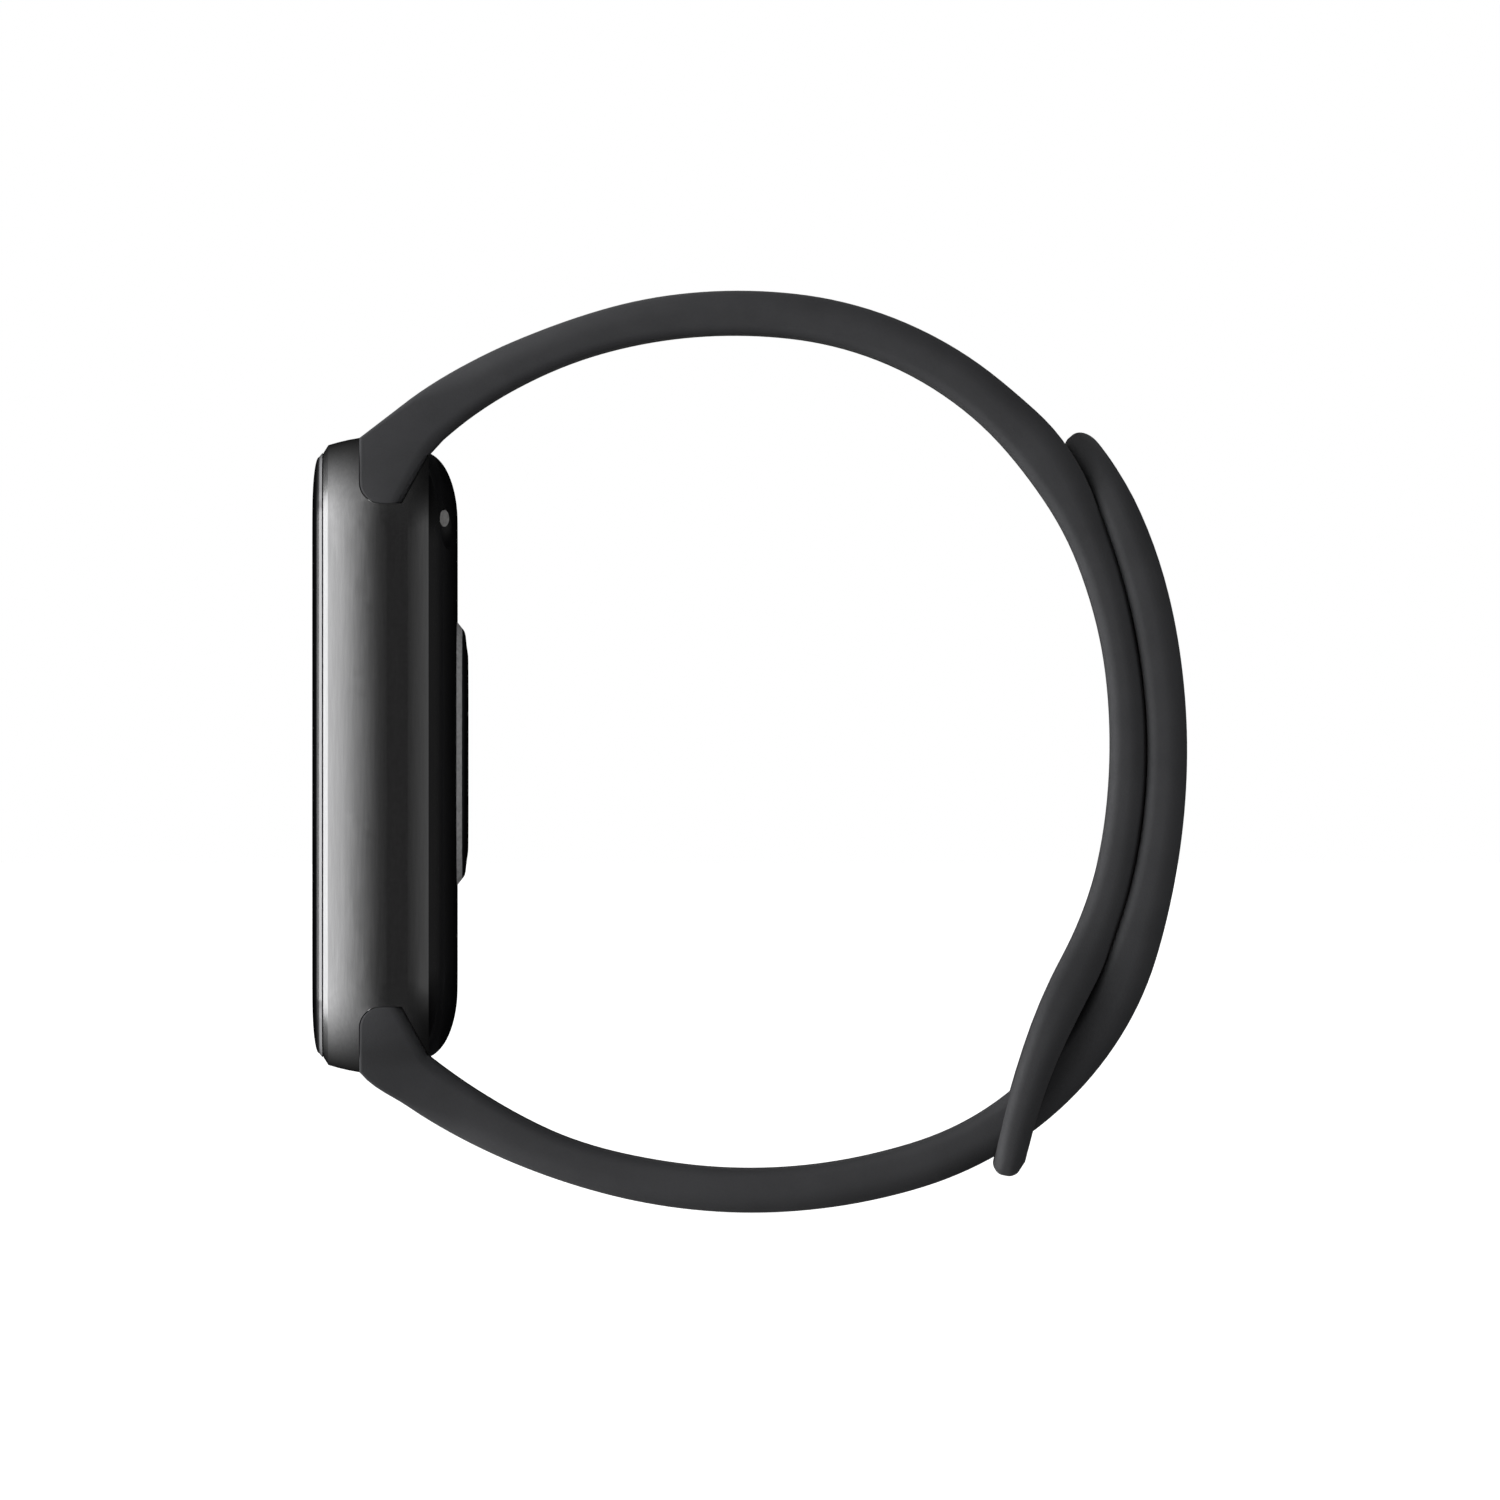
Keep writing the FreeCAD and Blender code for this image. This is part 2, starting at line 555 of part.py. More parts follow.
def box_group(label, wells, margin, front_x, depth):
    """Identical chips, one in each well, as separate solids of one node."""
    boxes = []
    for i, (y, z, half_y, half_z) in enumerate(wells):
        box = doc.addObject("Part::Box", "%s_%d" % (label, i))
        box.Length = depth
        box.Width = 2 * (half_y - margin)
        box.Height = 2 * (half_z - margin)
        box.Placement = Placement(Vector(front_x, y - half_y + margin, z - half_z + margin), Rotation())
        boxes.append(box)
    group = doc.addObject("Part::Compound", label)
    group.Label = label
    group.Links = boxes
    PARTS.append(group)


def cylinder(label, radius, height, x, y, z):
    """A Part cylinder along +X."""
    solid = doc.addObject("Part::Cylinder", label)
    solid.setExpression("Radius", radius)
    solid.setExpression("Height", height)
    solid.Placement = Placement(Vector(x, y, z), Rotation(Vector(0, 1, 0), 90))
    return solid


def chassis_screws():
    screws = []
    front = size("inner_chassis_front_x")
    for i, (y, z) in enumerate(boss_centres()):
        head = cylinder("screw_head_%d" % i, "0.85", "0.3", front - 0.3, y, z)
        shank = cylinder("screw_shank_%d" % i, "Sizes.boss_hole_radius - 0.04", "2.8", front, y, z)
        screw = doc.addObject("Part::Fuse", "screw_%d" % i)
        screw.Base = head
        screw.Tool = shank
        screws.append(screw)
    group = doc.addObject("Part::Compound", "chassis_screws")
    group.Label = "chassis_screws"
    group.Links = screws
    PARTS.append(group)


def charge_contacts():
    pins = []
    for i, side in enumerate((-1, 1)):
        pin = doc.addObject("Part::Cylinder", "contact_%d" % i)
        pin.setExpression("Radius", "Sizes.contact_radius")
        pin.setExpression("Height", "Sizes.contact_length")
        pin.Placement = contact_placement(side, size("contact_length"))
        pins.append(pin)
    group = doc.addObject("Part::Compound", "charge_contacts")
    group.Label = "charge_contacts"
    group.Links = pins
    PARTS.append(group)


# ---------------------------------------------------------------- vibration motor

def bound_circle(sketch, tag, radius, formula):
    """Circle about the sketch's own origin, its radius bound to a formula."""
    index = sketch.addGeometry(circle(0, 0, radius), False)
    sketch.addConstraint(Sketcher.Constraint("Coincident", index, 3, -1, 1))
    rule = sketch.addConstraint(Sketcher.Constraint("Radius", index, radius))
    sketch.renameConstraint(rule, tag)
    bind(sketch, tag, formula)


def motor_disc(label, radius, start, length, hole=None):
    """A round part of the motor, from x = start, as formulas."""
    body = new_body(label)
    sketch = new_sketch(body, "YZ_Plane", label + "_outline", start)
    sketch.setExpression("AttachmentOffset.Base.x", "Sizes.motor_y")
    sketch.setExpression("AttachmentOffset.Base.y", "Sizes.motor_z")
    bound_circle(sketch, "outer_radius", 3.0, radius)
    if hole:
        bound_circle(sketch, "hole_radius", 1.0, hole)
    pad(body, sketch, length)
    return body


def vibration_motor():
    case = motor_disc("motor_case", "Sizes.motor_radius", "Sizes.motor_front_x", "Sizes.motor_length")
    inside = new_sketch(case, "YZ_Plane", "motor_inside", "Sizes.motor_front_x + Sizes.motor_wall")
    bore = size("motor_radius") - size("motor_wall")
    draw(inside, [circle(size("motor_y"), size("motor_z"), bore)])
    pocket(case, inside, "Sizes.motor_length")
    end = "Sizes.motor_front_x + Sizes.motor_length - 0.3"
    motor_disc("motor_base", "Sizes.motor_radius - Sizes.motor_wall - 0.02", end, "0.3")
    motor_disc("motor_shaft", "Sizes.motor_shaft_radius", "Sizes.motor_front_x + Sizes.motor_wall",
               "Sizes.motor_length - Sizes.motor_wall - 0.3")
    motor_disc("motor_magnet", "Sizes.rotor_radius - 0.2", end + " - 0.55", "0.55", hole="1.4")
    motor_rotor()


def motor_rotor():
    """Eccentric half disc on a hub that turns on the fixed shaft."""
    body = new_body("motor_rotor")
    y = size("motor_y")
    z = size("motor_z")
    r = size("rotor_radius")
    hub = size("rotor_hub_radius")
    sketch = new_sketch(body, "YZ_Plane", "rotor_outline", "Sizes.rotor_front_x")
    edges = [arc((y + r, z), (y, z - r), (y - r, z)), line((y - r, z), (y - hub, z)),
             arc((y - hub, z), (y, z + hub), (y + hub, z)), line((y + hub, z), (y + r, z))]
    draw(sketch, edges)
    draw(sketch, [circle(y, z, size("rotor_bore_radius"))])
    pad(body, sketch, "Sizes.rotor_length")


# ---------------------------------------------------------------- straps

class CentreLine:
    """A strap's centre line: tangent arcs with a thickness that varies along them."""

    def __init__(self, start, arcs, thickness):
        self.start = start
        self.arcs = arcs
        self.thickness = thickness
        self.length = sum(length for _, length in arcs)

    def half(self, s):
        """Half the thickness at distance s, in straight steps between the listed stations."""
        table = self.thickness
        for (s0, t0), (s1, t1) in zip(table, table[1:]):
            if s <= s1:
                part = max(0.0, (s - s0) / (s1 - s0))
                return (t0 + (t1 - t0) * part) / 2
        return table[-1][1] / 2

    def at(self, s):
        """Point and heading at distance s; before the start the line runs straight back."""
        x, z, heading = self.start[0], self.start[1], math.radians(self.start[2])
        if s <= 0:
            return x + s * math.cos(heading), z + s * math.sin(heading), heading
        for radius, length in self.arcs:
            run = min(s, length)
            turned = heading + run / radius
            x += radius * (math.sin(turned) - math.sin(heading))
            z -= radius * (math.cos(turned) - math.cos(heading))
            heading = turned
            s -= run
            if s <= 1e-9:
                break
        return x, z, heading

    def edge(self, s, side, extra=0.0):
        """Point on one face: side 1 is left of the heading, extra stands it off further."""
        x, z, heading = self.at(s)
        reach = side * (self.half(s) + extra)
        return x - reach * math.sin(heading), z + reach * math.cos(heading)

    def stations(self, s0, s1):
        """Ends of the arcs and thickness steps between s0 and s1."""
        marks = [s for s, _ in self.thickness]
        total = 0
        for _, length in self.arcs:
            total += length
            marks.append(total)
        inner = sorted(s for s in marks if s0 + 1.0 < s < s1 - 1.0)
        kept = [s0]
        for s in inner:
            if s - kept[-1] > 1.0:
                kept.append(s)
        return kept + [s1]

    def face(self, s0, s1, side, extra=0.0):
        """One face from s0 to s1 as arcs through three points each."""
        marks = self.stations(s0, s1)
        return [arc(*(self.edge(s, side, extra) for s in (a, (a + b) / 2, b)))
                for a, b in zip(marks, marks[1:])]

    def band(self, s0, s1, extra=0.0):
        """Closed outline of the strap between s0 and s1, both ends square."""
        left = self.face(s0, s1, 1, extra)
        right = self.face(s0, s1, -1, extra)
        return left + right + [line(self.edge(s0, 1, extra), self.edge(s0, -1, extra)),
                               line(self.edge(s1, 1, extra), self.edge(s1, -1, extra))]


UPPER = CentreLine(UPPER_START, UPPER_ARCS, UPPER_THICKNESS)
LOWER = CentreLine(LOWER_START, LOWER_ARCS, LOWER_THICKNESS)


def root_edges(strap, end):
    """The root inside the notch, joined to the strap's two faces at the case's end."""
    p = notch_outline(end, size("root_clearance"))
    outer_side, inner_side = (1, -1) if end == 1 else (-1, 1)
    outer = strap.edge(0.0, outer_side)
    inner = strap.edge(1.2, inner_side)
    shoulder = (p["front_low"][0], outer[1] + end * (p["front_low"][0] - outer[0]) * ROOT_SHOULDER_SLOPE)
    slope = (p["back_far"][0] - p["floor_back"][0]) / (p["back_far"][1] - p["floor_back"][1])
    lip_z = end * size("notch_lip_z")
    lip = (p["floor_back"][0] + slope * (lip_z - p["floor_back"][1]), lip_z)
    return [line(outer, shoulder), line(shoulder, p["front_low"]),
            arc(p["front_low"], p["corner_mid"], p["floor_front"]),
            line(p["floor_front"], p["floor_back"]), line(p["floor_back"], lip), line(lip, inner)]


def strap_profile(strap, end, stop, round_end):
    """Side outline of a strap from its root to distance stop."""
    outer_side, inner_side = (1, -1) if end == 1 else (-1, 1)
    edges = root_edges(strap, end)
    edges += strap.face(0.0, stop, outer_side)
    edges += strap.face(1.2, stop, inner_side)
    outer = strap.edge(stop, outer_side)
    inner = strap.edge(stop, inner_side)
    if round_end:
        x, z, heading = strap.at(stop)
        reach = strap.half(stop)
        tip = (x + reach * math.cos(heading), z + reach * math.sin(heading))
        edges.append(arc(outer, tip, inner))
    else:
        edges.append(line(outer, inner))
    return edges


def shape_sides(body, end, half):
    """Narrow the strap: round the root like the case's corners, then run it at one width."""
    corner = size("case_corner")
    case_half = size("case_width") / 2
    flank_z = size("case_length") / 2 - corner
    far = size("strap_root_half") + 2
    on_corner = [(case_half - corner * (1 - math.cos(turn)), flank_z + corner * math.sin(turn))
                 for turn in (0, ROOT_TURN / 2, ROOT_TURN)]
    neck = [(half + extra, z) for extra, z in ROOT_NECK]
    around = [on_corner[2]] + neck + [(far, neck[-1][1]), (far, flank_z - 1), (case_half, flank_z - 1),
                                      on_corner[0]]
    sketch = new_sketch(body, "YZ_Plane", "root_sides", "-36")
    for side in (-1, 1):
        bend = [(side * y, end * z) for y, z in on_corner]
        straight = [(side * y, end * z) for y, z in around]
        draw(sketch, [arc(*bend)] + [line(a, b) for a, b in zip(straight, straight[1:])])
    pocket(body, sketch, "28")


def trim_run(body, half, outline_z):
    """Straight sides past x = -8; outline_z lists (z, half width) from low to high."""
    sketch = new_sketch(body, "YZ_Plane", "run_sides", "-8")
    for side in (-1, 1):
        points = [(side * h, z) for z, h in outline_z]
        far = side * (size("strap_root_half") + 2)
        draw(sketch, closed(points + [(far, points[-1][1]), (far, points[0][1])]))
    pocket(body, sketch, "40")


def strap_sketch(body, edges, name="profile"):
    sketch = new_sketch(body, "XZ_Plane", name)
    draw(sketch, edges)
    return sketch


def cut_strap_hole(body, name, x, z, heading, length, width, depth, side=None):
    """Oval hole through the strap, or one sided when side is given, long way along the strap."""
    sketch = new_sketch(body, "YZ_Plane", name)
    normal = Vector(-math.sin(heading), 0, math.cos(heading))
    if normal.x < 0:
        normal = normal * -1
    turn = math.degrees(math.atan2(-normal.z, normal.x))
    sketch.AttachmentOffset = Placement(Vector(0, z, x), Rotation(Vector(1, 0, 0), turn))
    r = width / 2
    reach = length / 2 - r
    if reach < 1e-6:
        draw(sketch, [circle(0, 0, r)])
    else:
        draw(sketch, [line((-r, -reach), (-r, reach)), arc((-r, reach), (0, reach + r), (r, reach)),
                      line((r, reach), (r, -reach)), arc((r, -reach), (0, -reach - r), (-r, -reach))])
    if side is None:
        pocket(body, sketch, str(depth), symmetric=True)
    else:
        pocket(body, sketch, str(depth), reverse=side > 0)


def upper_strap():
    body = new_body("upper_strap")
    stop = UPPER.length
    pad(body, strap_sketch(body, strap_profile(UPPER, 1, stop, True)), "2 * Sizes.strap_root_half",
        symmetric=True)
    half = size("upper_strap_half")
    shape_sides(body, 1, half)
    keeper = size("keeper_half")
    trim_run(body, half, [(-40, keeper), (-20.5, keeper), (-14, half), (40, half)])
    slot = strap_sketch(body, LOWER.band(38.0, 53.4, size("keeper_slot_clearance")), "keeper_slot")
    pocket(body, slot, "Sizes.keeper_slot_width", symmetric=True)
    for i in range(int(size("hole_count"))):
        x, z, heading = UPPER.at(size("hole_first") + i * size("hole_pitch"))
        cut_strap_hole(body, "hole_%d" % i, x, z, heading, size("hole_length"), size("hole_width"), 4)
    cut_connector_room(body, UPPER, 1)
    return body


def lower_strap():
    body = new_body("lower_strap")
    stop = size("peel_station")
    pad(body, strap_sketch(body, strap_profile(LOWER, -1, stop, False)), "2 * Sizes.strap_root_half",
        symmetric=True)
    half = size("lower_strap_half")
    shape_sides(body, -1, half)
    trim_run(body, half, [(-40, half), (40, half)])
    cut_connector_room(body, LOWER, -1)
    return body


def lower_strap_tip():
    """Free end of the lower strap, past the place where it bends when it is peeled open."""
    body = new_body("lower_strap_tip")
    start = size("peel_station") + 0.02
    edges = LOWER.face(start, LOWER.length, -1) + LOWER.face(start, LOWER.length, 1)
    edges.append(line(LOWER.edge(start, -1), LOWER.edge(start, 1)))
    x, z, heading = LOWER.at(LOWER.length)
    reach = LOWER.half(LOWER.length)
    tip = (x + reach * math.cos(heading), z + reach * math.sin(heading))
    edges.append(arc(LOWER.edge(LOWER.length, -1), tip, LOWER.edge(LOWER.length, 1)))
    pad(body, strap_sketch(body, edges), "2 * Sizes.lower_strap_half", symmetric=True)
    round_tip(body)
    x, z, heading = LOWER.at(size("stud_station"))
    diameter = 2 * size("stud_neck_radius") + 0.04
    cut_strap_hole(body, "stud_hole", x, z, heading, diameter, diameter, 5)
    x, z = LOWER.edge(size("stud_station"), -1)
    diameter = 2 * size("stud_cap_radius") + 0.1
    cut_strap_hole(body, "cap_recess", x, z, heading, diameter, diameter,
                   2 * size("stud_cap_height") + 0.04)
    return body


def round_tip(body):
    """Half-round plan of the free end."""
    half = size("lower_strap_half")
    top = LOWER.at(LOWER.length)[1] + LOWER.half(LOWER.length)
    rise = TIP_RISE * half
    flank = top - rise
    bend_y = half * math.sin(ROOT_TURN)
    bend_z = flank + TIP_FULLNESS * rise * math.cos(ROOT_TURN)
    for side, name in ((-1, "near_tip_side"), (1, "far_tip_side")):
        far = side * (half + 2)
        sketch = new_sketch(body, "YZ_Plane", name)
        draw(sketch, [arc((side * half, flank), (side * bend_y, bend_z), (0, top)),
                      line((0, top), (0, top + 2)), line((0, top + 2), (far, top + 2)),
                      line((far, top + 2), (far, flank)), line((far, flank), (side * half, flank))])
        pocket(body, sketch, "40")


# ---------------------------------------------------------------- connectors and latches

def connector_outline(end, grow):
    """Hard insert inside a strap root, following the notch walls."""
    p = notch_outline(end, size("root_clearance"))
    slope = (p["back_far"][0] - p["floor_back"][0]) / (p["back_far"][1] - p["floor_back"][1])
    top = end * (size("connector_top_z") + grow)
    reach = (p["floor_back"][0] + slope * (top - p["floor_back"][1]), top)
    front = (p["front_low"][0], top)
    return [line(front, p["front_low"]), arc(p["front_low"], p["corner_mid"], p["floor_front"]),
            line(p["floor_front"], p["floor_back"]), line(p["floor_back"], reach), line(reach, front)]


def cut_connector_room(body, strap, end):
    """Room in the strap root for the insert and its anchor tongue."""
    sketch = new_sketch(body, "XZ_Plane", "insert_room")
    top = end * (size("connector_top_z") + 0.02)
    low = end * (size("notch_floor_z") - 1)
    draw(sketch, closed([(-30, low), (-30, top), (-23, top), (-23, low)]))
    pocket(body, sketch, "Sizes.connector_width + 0.04", symmetric=True)
    anchor = new_sketch(body, "XZ_Plane", "anchor_room")
    draw(anchor, anchor_outline(strap, 0.02))
    pocket(body, anchor, "Sizes.anchor_width + 0.04", symmetric=True)


def anchor_outline(strap, grow):
    """Thin tongue along the strap's centre line."""
    half = size("anchor_thickness") / 2 + grow
    stop = size("anchor_length") + grow
    points = []
    for s, side in ((-2.2, 1), (stop, 1), (stop, -1), (-2.2, -1)):
        x, z, heading = strap.at(s)
        points.append((x - side * half * math.sin(heading), z + side * half * math.cos(heading)))
    return closed(points)


def connector(name, strap, end):
    body = new_body(name + "_connector")
    pad(body, strap_sketch(body, connector_outline(end, 0.0)), "Sizes.connector_width", symmetric=True)
    anchor = strap_sketch(body, anchor_outline(strap, 0.0), "anchor")
    pad(body, anchor, "Sizes.anchor_width", symmetric=True)
    gap = size("latch_clearance")
    low = size("latch_low_z") - gap
    high = size("latch_high_z") + gap
    chamber = new_sketch(body, "XZ_Plane", "latch_chamber")
    back = size("latch_chamber_x")
    lip = size("latch_lip_x")
    draw(chamber, closed([(back, end * low), (back, end * high), (lip, end * high), (lip, end * low)]))
    pocket(body, chamber, "Sizes.latch_flange_width + 2 * Sizes.latch_clearance", symmetric=True)
    mouth = new_sketch(body, "XZ_Plane", "latch_mouth")
    start = lip - 0.2
    draw(mouth, closed([(start, end * low), (start, end * high), (-22, end * high), (-22, end * low)]))
    pocket(body, mouth, "Sizes.latch_head_width + 2 * Sizes.latch_clearance", symmetric=True)


def latch_button(name, end):
    """Push button whose head stands in the back cover's window and locks the strap root."""
    body = new_body(name + "_latch_button")
    low = end * size("latch_low_z")
    high = end * size("latch_high_z")
    head = new_sketch(body, "XZ_Plane", "head")
    face = size("latch_face_x")
    front = size("latch_flange_front_x")
    back = size("latch_flange_back_x")
    draw(head, closed([(front - 0.3, low), (face, low), (face, high), (front - 0.3, high)]))
    pad(body, head, "Sizes.latch_head_width", symmetric=True)
    flange = new_sketch(body, "XZ_Plane", "flange")
    draw(flange, closed([(back, low), (front, low), (front, high), (back, high)]))
    pad(body, flange, "Sizes.latch_flange_width", symmetric=True)


def latch_springs(name, end):
    """Two small coil springs behind the button, between the chamber's floor and the flange."""
    z = end * (size("latch_low_z") + size("latch_high_z")) / 2
    radius = size("latch_spring_radius")
    wire = size("latch_spring_wire")
    start = size("latch_chamber_x") + wire + 0.01
    height = size("latch_flange_back_x") - start - wire - 0.02
    coils = size("latch_spring_coils")
    solids = []
    for y in (-size("latch_spring_y"), size("latch_spring_y")):
        helix = Part.makeHelix(height / coils, height, radius)
        profile = Part.Wire(Part.makeCircle(wire, Vector(radius, 0, 0), Vector(0, 1, 0)))
        spring = Part.Wire(helix.Edges).makePipeShell([profile], True, True)
        spring.Placement = Placement(Vector(start, y, z), Rotation(Vector(0, 1, 0), 90))
        solids.append(spring)
    feature = doc.addObject("Part::Feature", name + "_latch_springs")
    feature.Label = name + "_latch_springs"
    feature.Shape = Part.makeCompound(solids)
    PARTS.append(feature)


# ---------------------------------------------------------------- stud

def stud_frame(at_outer):
    """Point on the lower strap's outer face at the stud, and the outward direction."""
    x, z, heading = LOWER.at(size("stud_station"))
    outward = Vector(math.sin(heading), 0, -math.cos(heading))
    reach = LOWER.half(size("stud_station")) if at_outer else 0.0
    return Vector(x, 0, z) + outward * reach, outward


def turned_piece(label, outline):
    """Revolve an outline of (radius, distance out of the strap's outer face) about the stud."""
    body = new_body(label)
    sketch = new_sketch(body, "XY_Plane", label + "_outline")
    draw(sketch, closed(outline))
    feature = body.newObject("PartDesign::Revolution", "Revolution")
    feature.Profile = sketch
    feature.ReferenceAxis = (sketch, ["V_Axis"])
    feature.Angle = 360
    base, outward = stud_frame(True)
    body.Placement = Placement(base, Rotation(Vector(0, -1, 0), outward * -1))
    doc.recompute()
    return body


def stud():
    neck = size("stud_neck_radius")
    head = size("stud_head_radius")
    cap = size("stud_cap_height")
    hold = 2 * LOWER.half(size("stud_station")) + size("stud_grip")
    stop = hold + size("stud_head_height")
    outline = [(0, -cap), (neck, -cap), (neck, -hold), (head, -hold - 0.15), (head, -stop + 0.4),
               (head - 0.5, -stop), (0, -stop)]
    turned_piece("stud", outline)


def stud_cap():
    r = size("stud_cap_radius")
    low = -size("stud_cap_height")
    outline = [(0, 0.02), (r - 0.25, 0.02), (r, -0.18), (r, low), (0, low)]
    turned_piece("stud_cap", outline)


# ---------------------------------------------------------------- build and write

def build():
    cover_glass()
    display_gasket()
    mid_frame()
    back_cover()
    inner_chassis()
    cover_seal()
    shield_can()
    sensor_ring()
    sensor_window()
    light_baffle()
    for label in ("display_panel", "battery", "battery_lead", "main_board", "processor", "accelerometer",
                  "antenna", "sensor_board", "sensor_connector", "display_flex"):
        plate(label)
    box_group("sensor_leds", LAMP_WELLS, 0.3, -23.55, 0.5)
    box_group("photodiodes", DIODE_WELLS, 0.25, -23.55, 0.45)
    chassis_screws()
    charge_contacts()
    vibration_motor()
    upper_strap()
    lower_strap()
    lower_strap_tip()
    for name, strap, end in (("upper", UPPER, 1), ("lower", LOWER, -1)):
        connector(name, strap, end)
        latch_button(name, end)
        latch_springs(name, end)
    stud()
    stud_cap()


def write_parts():
    doc.recompute()
    for item in doc.Objects:
        if "Invalid" in item.State or "Error" in item.State:
            raise RuntimeError("%s failed: %s" % (item.Name, item.State))
    os.makedirs("parts", exist_ok=True)
    for item in PARTS:
        shape = item.Shape
        if shape.isNull() or not shape.isValid():
            raise RuntimeError("%s has no valid shape" % item.Label)
        shape.exportStep("parts/%s.step" % item.Label)
        print("%-20s %9.2f mm3  %d solid(s)" % (item.Label, shape.Volume, len(shape.Solids)))


build()
write_parts()
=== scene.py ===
"""Fitness tracker band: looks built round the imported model. Sizes are in millimetres unless said."""
import json
import math

import bpy
import bmesh
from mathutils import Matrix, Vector


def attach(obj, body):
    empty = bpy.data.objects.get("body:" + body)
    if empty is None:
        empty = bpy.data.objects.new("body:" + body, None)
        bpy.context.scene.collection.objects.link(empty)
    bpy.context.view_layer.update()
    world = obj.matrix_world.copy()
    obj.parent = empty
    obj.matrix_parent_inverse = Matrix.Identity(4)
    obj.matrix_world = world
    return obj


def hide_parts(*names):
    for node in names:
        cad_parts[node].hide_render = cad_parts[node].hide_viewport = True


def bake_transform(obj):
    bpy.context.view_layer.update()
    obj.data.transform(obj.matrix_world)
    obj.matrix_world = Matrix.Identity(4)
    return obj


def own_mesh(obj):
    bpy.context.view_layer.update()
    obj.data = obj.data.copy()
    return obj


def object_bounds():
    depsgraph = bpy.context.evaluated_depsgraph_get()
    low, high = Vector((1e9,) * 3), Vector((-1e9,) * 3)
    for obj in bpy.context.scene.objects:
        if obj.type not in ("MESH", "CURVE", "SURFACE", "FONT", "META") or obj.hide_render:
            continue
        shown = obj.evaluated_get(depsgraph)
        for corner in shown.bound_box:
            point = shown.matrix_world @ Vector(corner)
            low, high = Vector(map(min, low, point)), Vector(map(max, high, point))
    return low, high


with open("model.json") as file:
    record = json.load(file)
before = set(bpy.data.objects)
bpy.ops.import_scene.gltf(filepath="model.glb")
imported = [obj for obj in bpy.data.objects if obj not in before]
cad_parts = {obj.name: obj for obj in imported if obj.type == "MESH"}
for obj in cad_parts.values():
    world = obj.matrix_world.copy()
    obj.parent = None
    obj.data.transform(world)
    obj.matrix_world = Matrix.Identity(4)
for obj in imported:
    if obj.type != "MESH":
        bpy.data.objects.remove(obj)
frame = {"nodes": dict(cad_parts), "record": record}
cad_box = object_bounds()

MM = 0.001
CREASE_ANGLE = math.radians(40)

# ---------------------------------------------------------------- straps: driving sizes

# Centre lines as in the CAD: start x, z and heading in degrees, then arcs as (radius, length).
UPPER_START = (-25.3, 21.75, 41.4)
UPPER_ARCS = [(-26.7, 3.4), (-33.9, 24.2), (-24.4, 27.3), (-38.7, 20.5), (-26.7, 7.8), (48.0, 13.7)]
LOWER_START = (-25.4, -21.5, -37.4)
LOWER_ARCS = [(37.5, 35.6), (22.4, 21.0), (41.8, 30.5), (20.0, 5.0)]
# Thickness at distances along the strap
UPPER_THICKNESS = [(0, 3.6), (4.3, 3.1), (12, 2.8), (24, 2.95), (36, 2.98), (44, 3.06),
                   (47.5, 3.24), (53, 2.7), (60, 2.3), (68, 2.46), (76, 2.46), (80, 2.62),
                   (85, 2.7), (92, 2.16), (97, 2.05)]
LOWER_THICKNESS = [(0, 3.5), (12, 2.9), (26, 2.94), (38, 3.0), (50, 3.24), (55, 3.23), (62, 2.78),
                   (68, 2.66), (76, 2.7), (84, 2.6), (88, 2.42), (92, 2.05)]
# How far each face stands past the even thickness: side 1 is the outer face, -1 the inner
UPPER_SWELL = {1: [(0, 0.0), (6, 0.0), (8, -0.1), (13, -0.1), (17, 0.0), (44, 0.0), (45.5, 0.12),
                   (47, 0.34), (48.2, 0.32), (49.2, 0.0), (81, 0.0), (83, 0.1), (86, 0.1),
                   (88, 0.0)],
               -1: [(0, 0.0)]}
LOWER_SWELL = {1: [(0, 0.06), (3, 0.06), (6, 0.0), (76, 0.0), (80, 0.08), (85, 0.1), (89, 0.0)],
               -1: [(0, 0.0), (7, 0.0), (9, -0.1), (13, -0.1), (17, 0.0), (36, 0.0), (40, -0.1),
                    (46, -0.1), (49, 0.0)]}

# Outline of the case seen from the front; its side wall curves in from this x on, by this radius
CASE_HALF_WIDTH = 12.7
CASE_FLANK_Z = 15.2
CASE_CORNER = 6.2
FRAME_FLAT_X = -27.0
FRAME_BULGE = 12.5
# The strap's neck leaves the case's corner at this turn and narrows over this run of height; from
# the end station on, widths come from the strap alone
FLANK_TURN = math.radians(52)
NECK_RUN = 6.2
NECK_END = 16

# The strap's root in the case's notch; its floor is at station -1 and its shoulder at station 0
ROOT_FLOOR_Z = 16.87
ROOT_FRONT_X = -28.85
ROOT_BACK_X = -26.0
ROOT_CORNER = 1.38
ROOT_BACK_CORNER = 0.1
ROOT_SHOULDER_Z = 21.25
ROOT_LIP_Z = 20.3
ROOT_LEAN = 0.545
# From this station on, the faces follow the centre line
FREE_STATION = 1.2
# The lower strap bows outwards here, most at a third of the way; the scale makes its peak the bow
LOWER_ROOT_BOW = 0.18
BOW_X = 0.5
BOW_Z = 0.87
BOW_SCALE = 6.75

UPPER_HALF = 8.0
LOWER_HALF = 7.7
KEEPER_HALF = 10.5
KEEPER_CORNER = 2.2
KEEPER_FLARE = (79.5, 88.0)
# How far each strap's end runs past its last arc
UPPER_TIP_LENGTH = 1.02
LOWER_TIP_LENGTH = 1.12
# Radii of the long edges of the outer (1) and inner (-1) face, on the free strap and at the root
EDGE_ROUND = {1: 1.45, -1: 0.75}
ROOT_EDGE_ROUND = {1: 0.2, -1: 0.9}
EDGE_ROUND_START = -0.2
EDGE_ROUND_RUN = 5.5
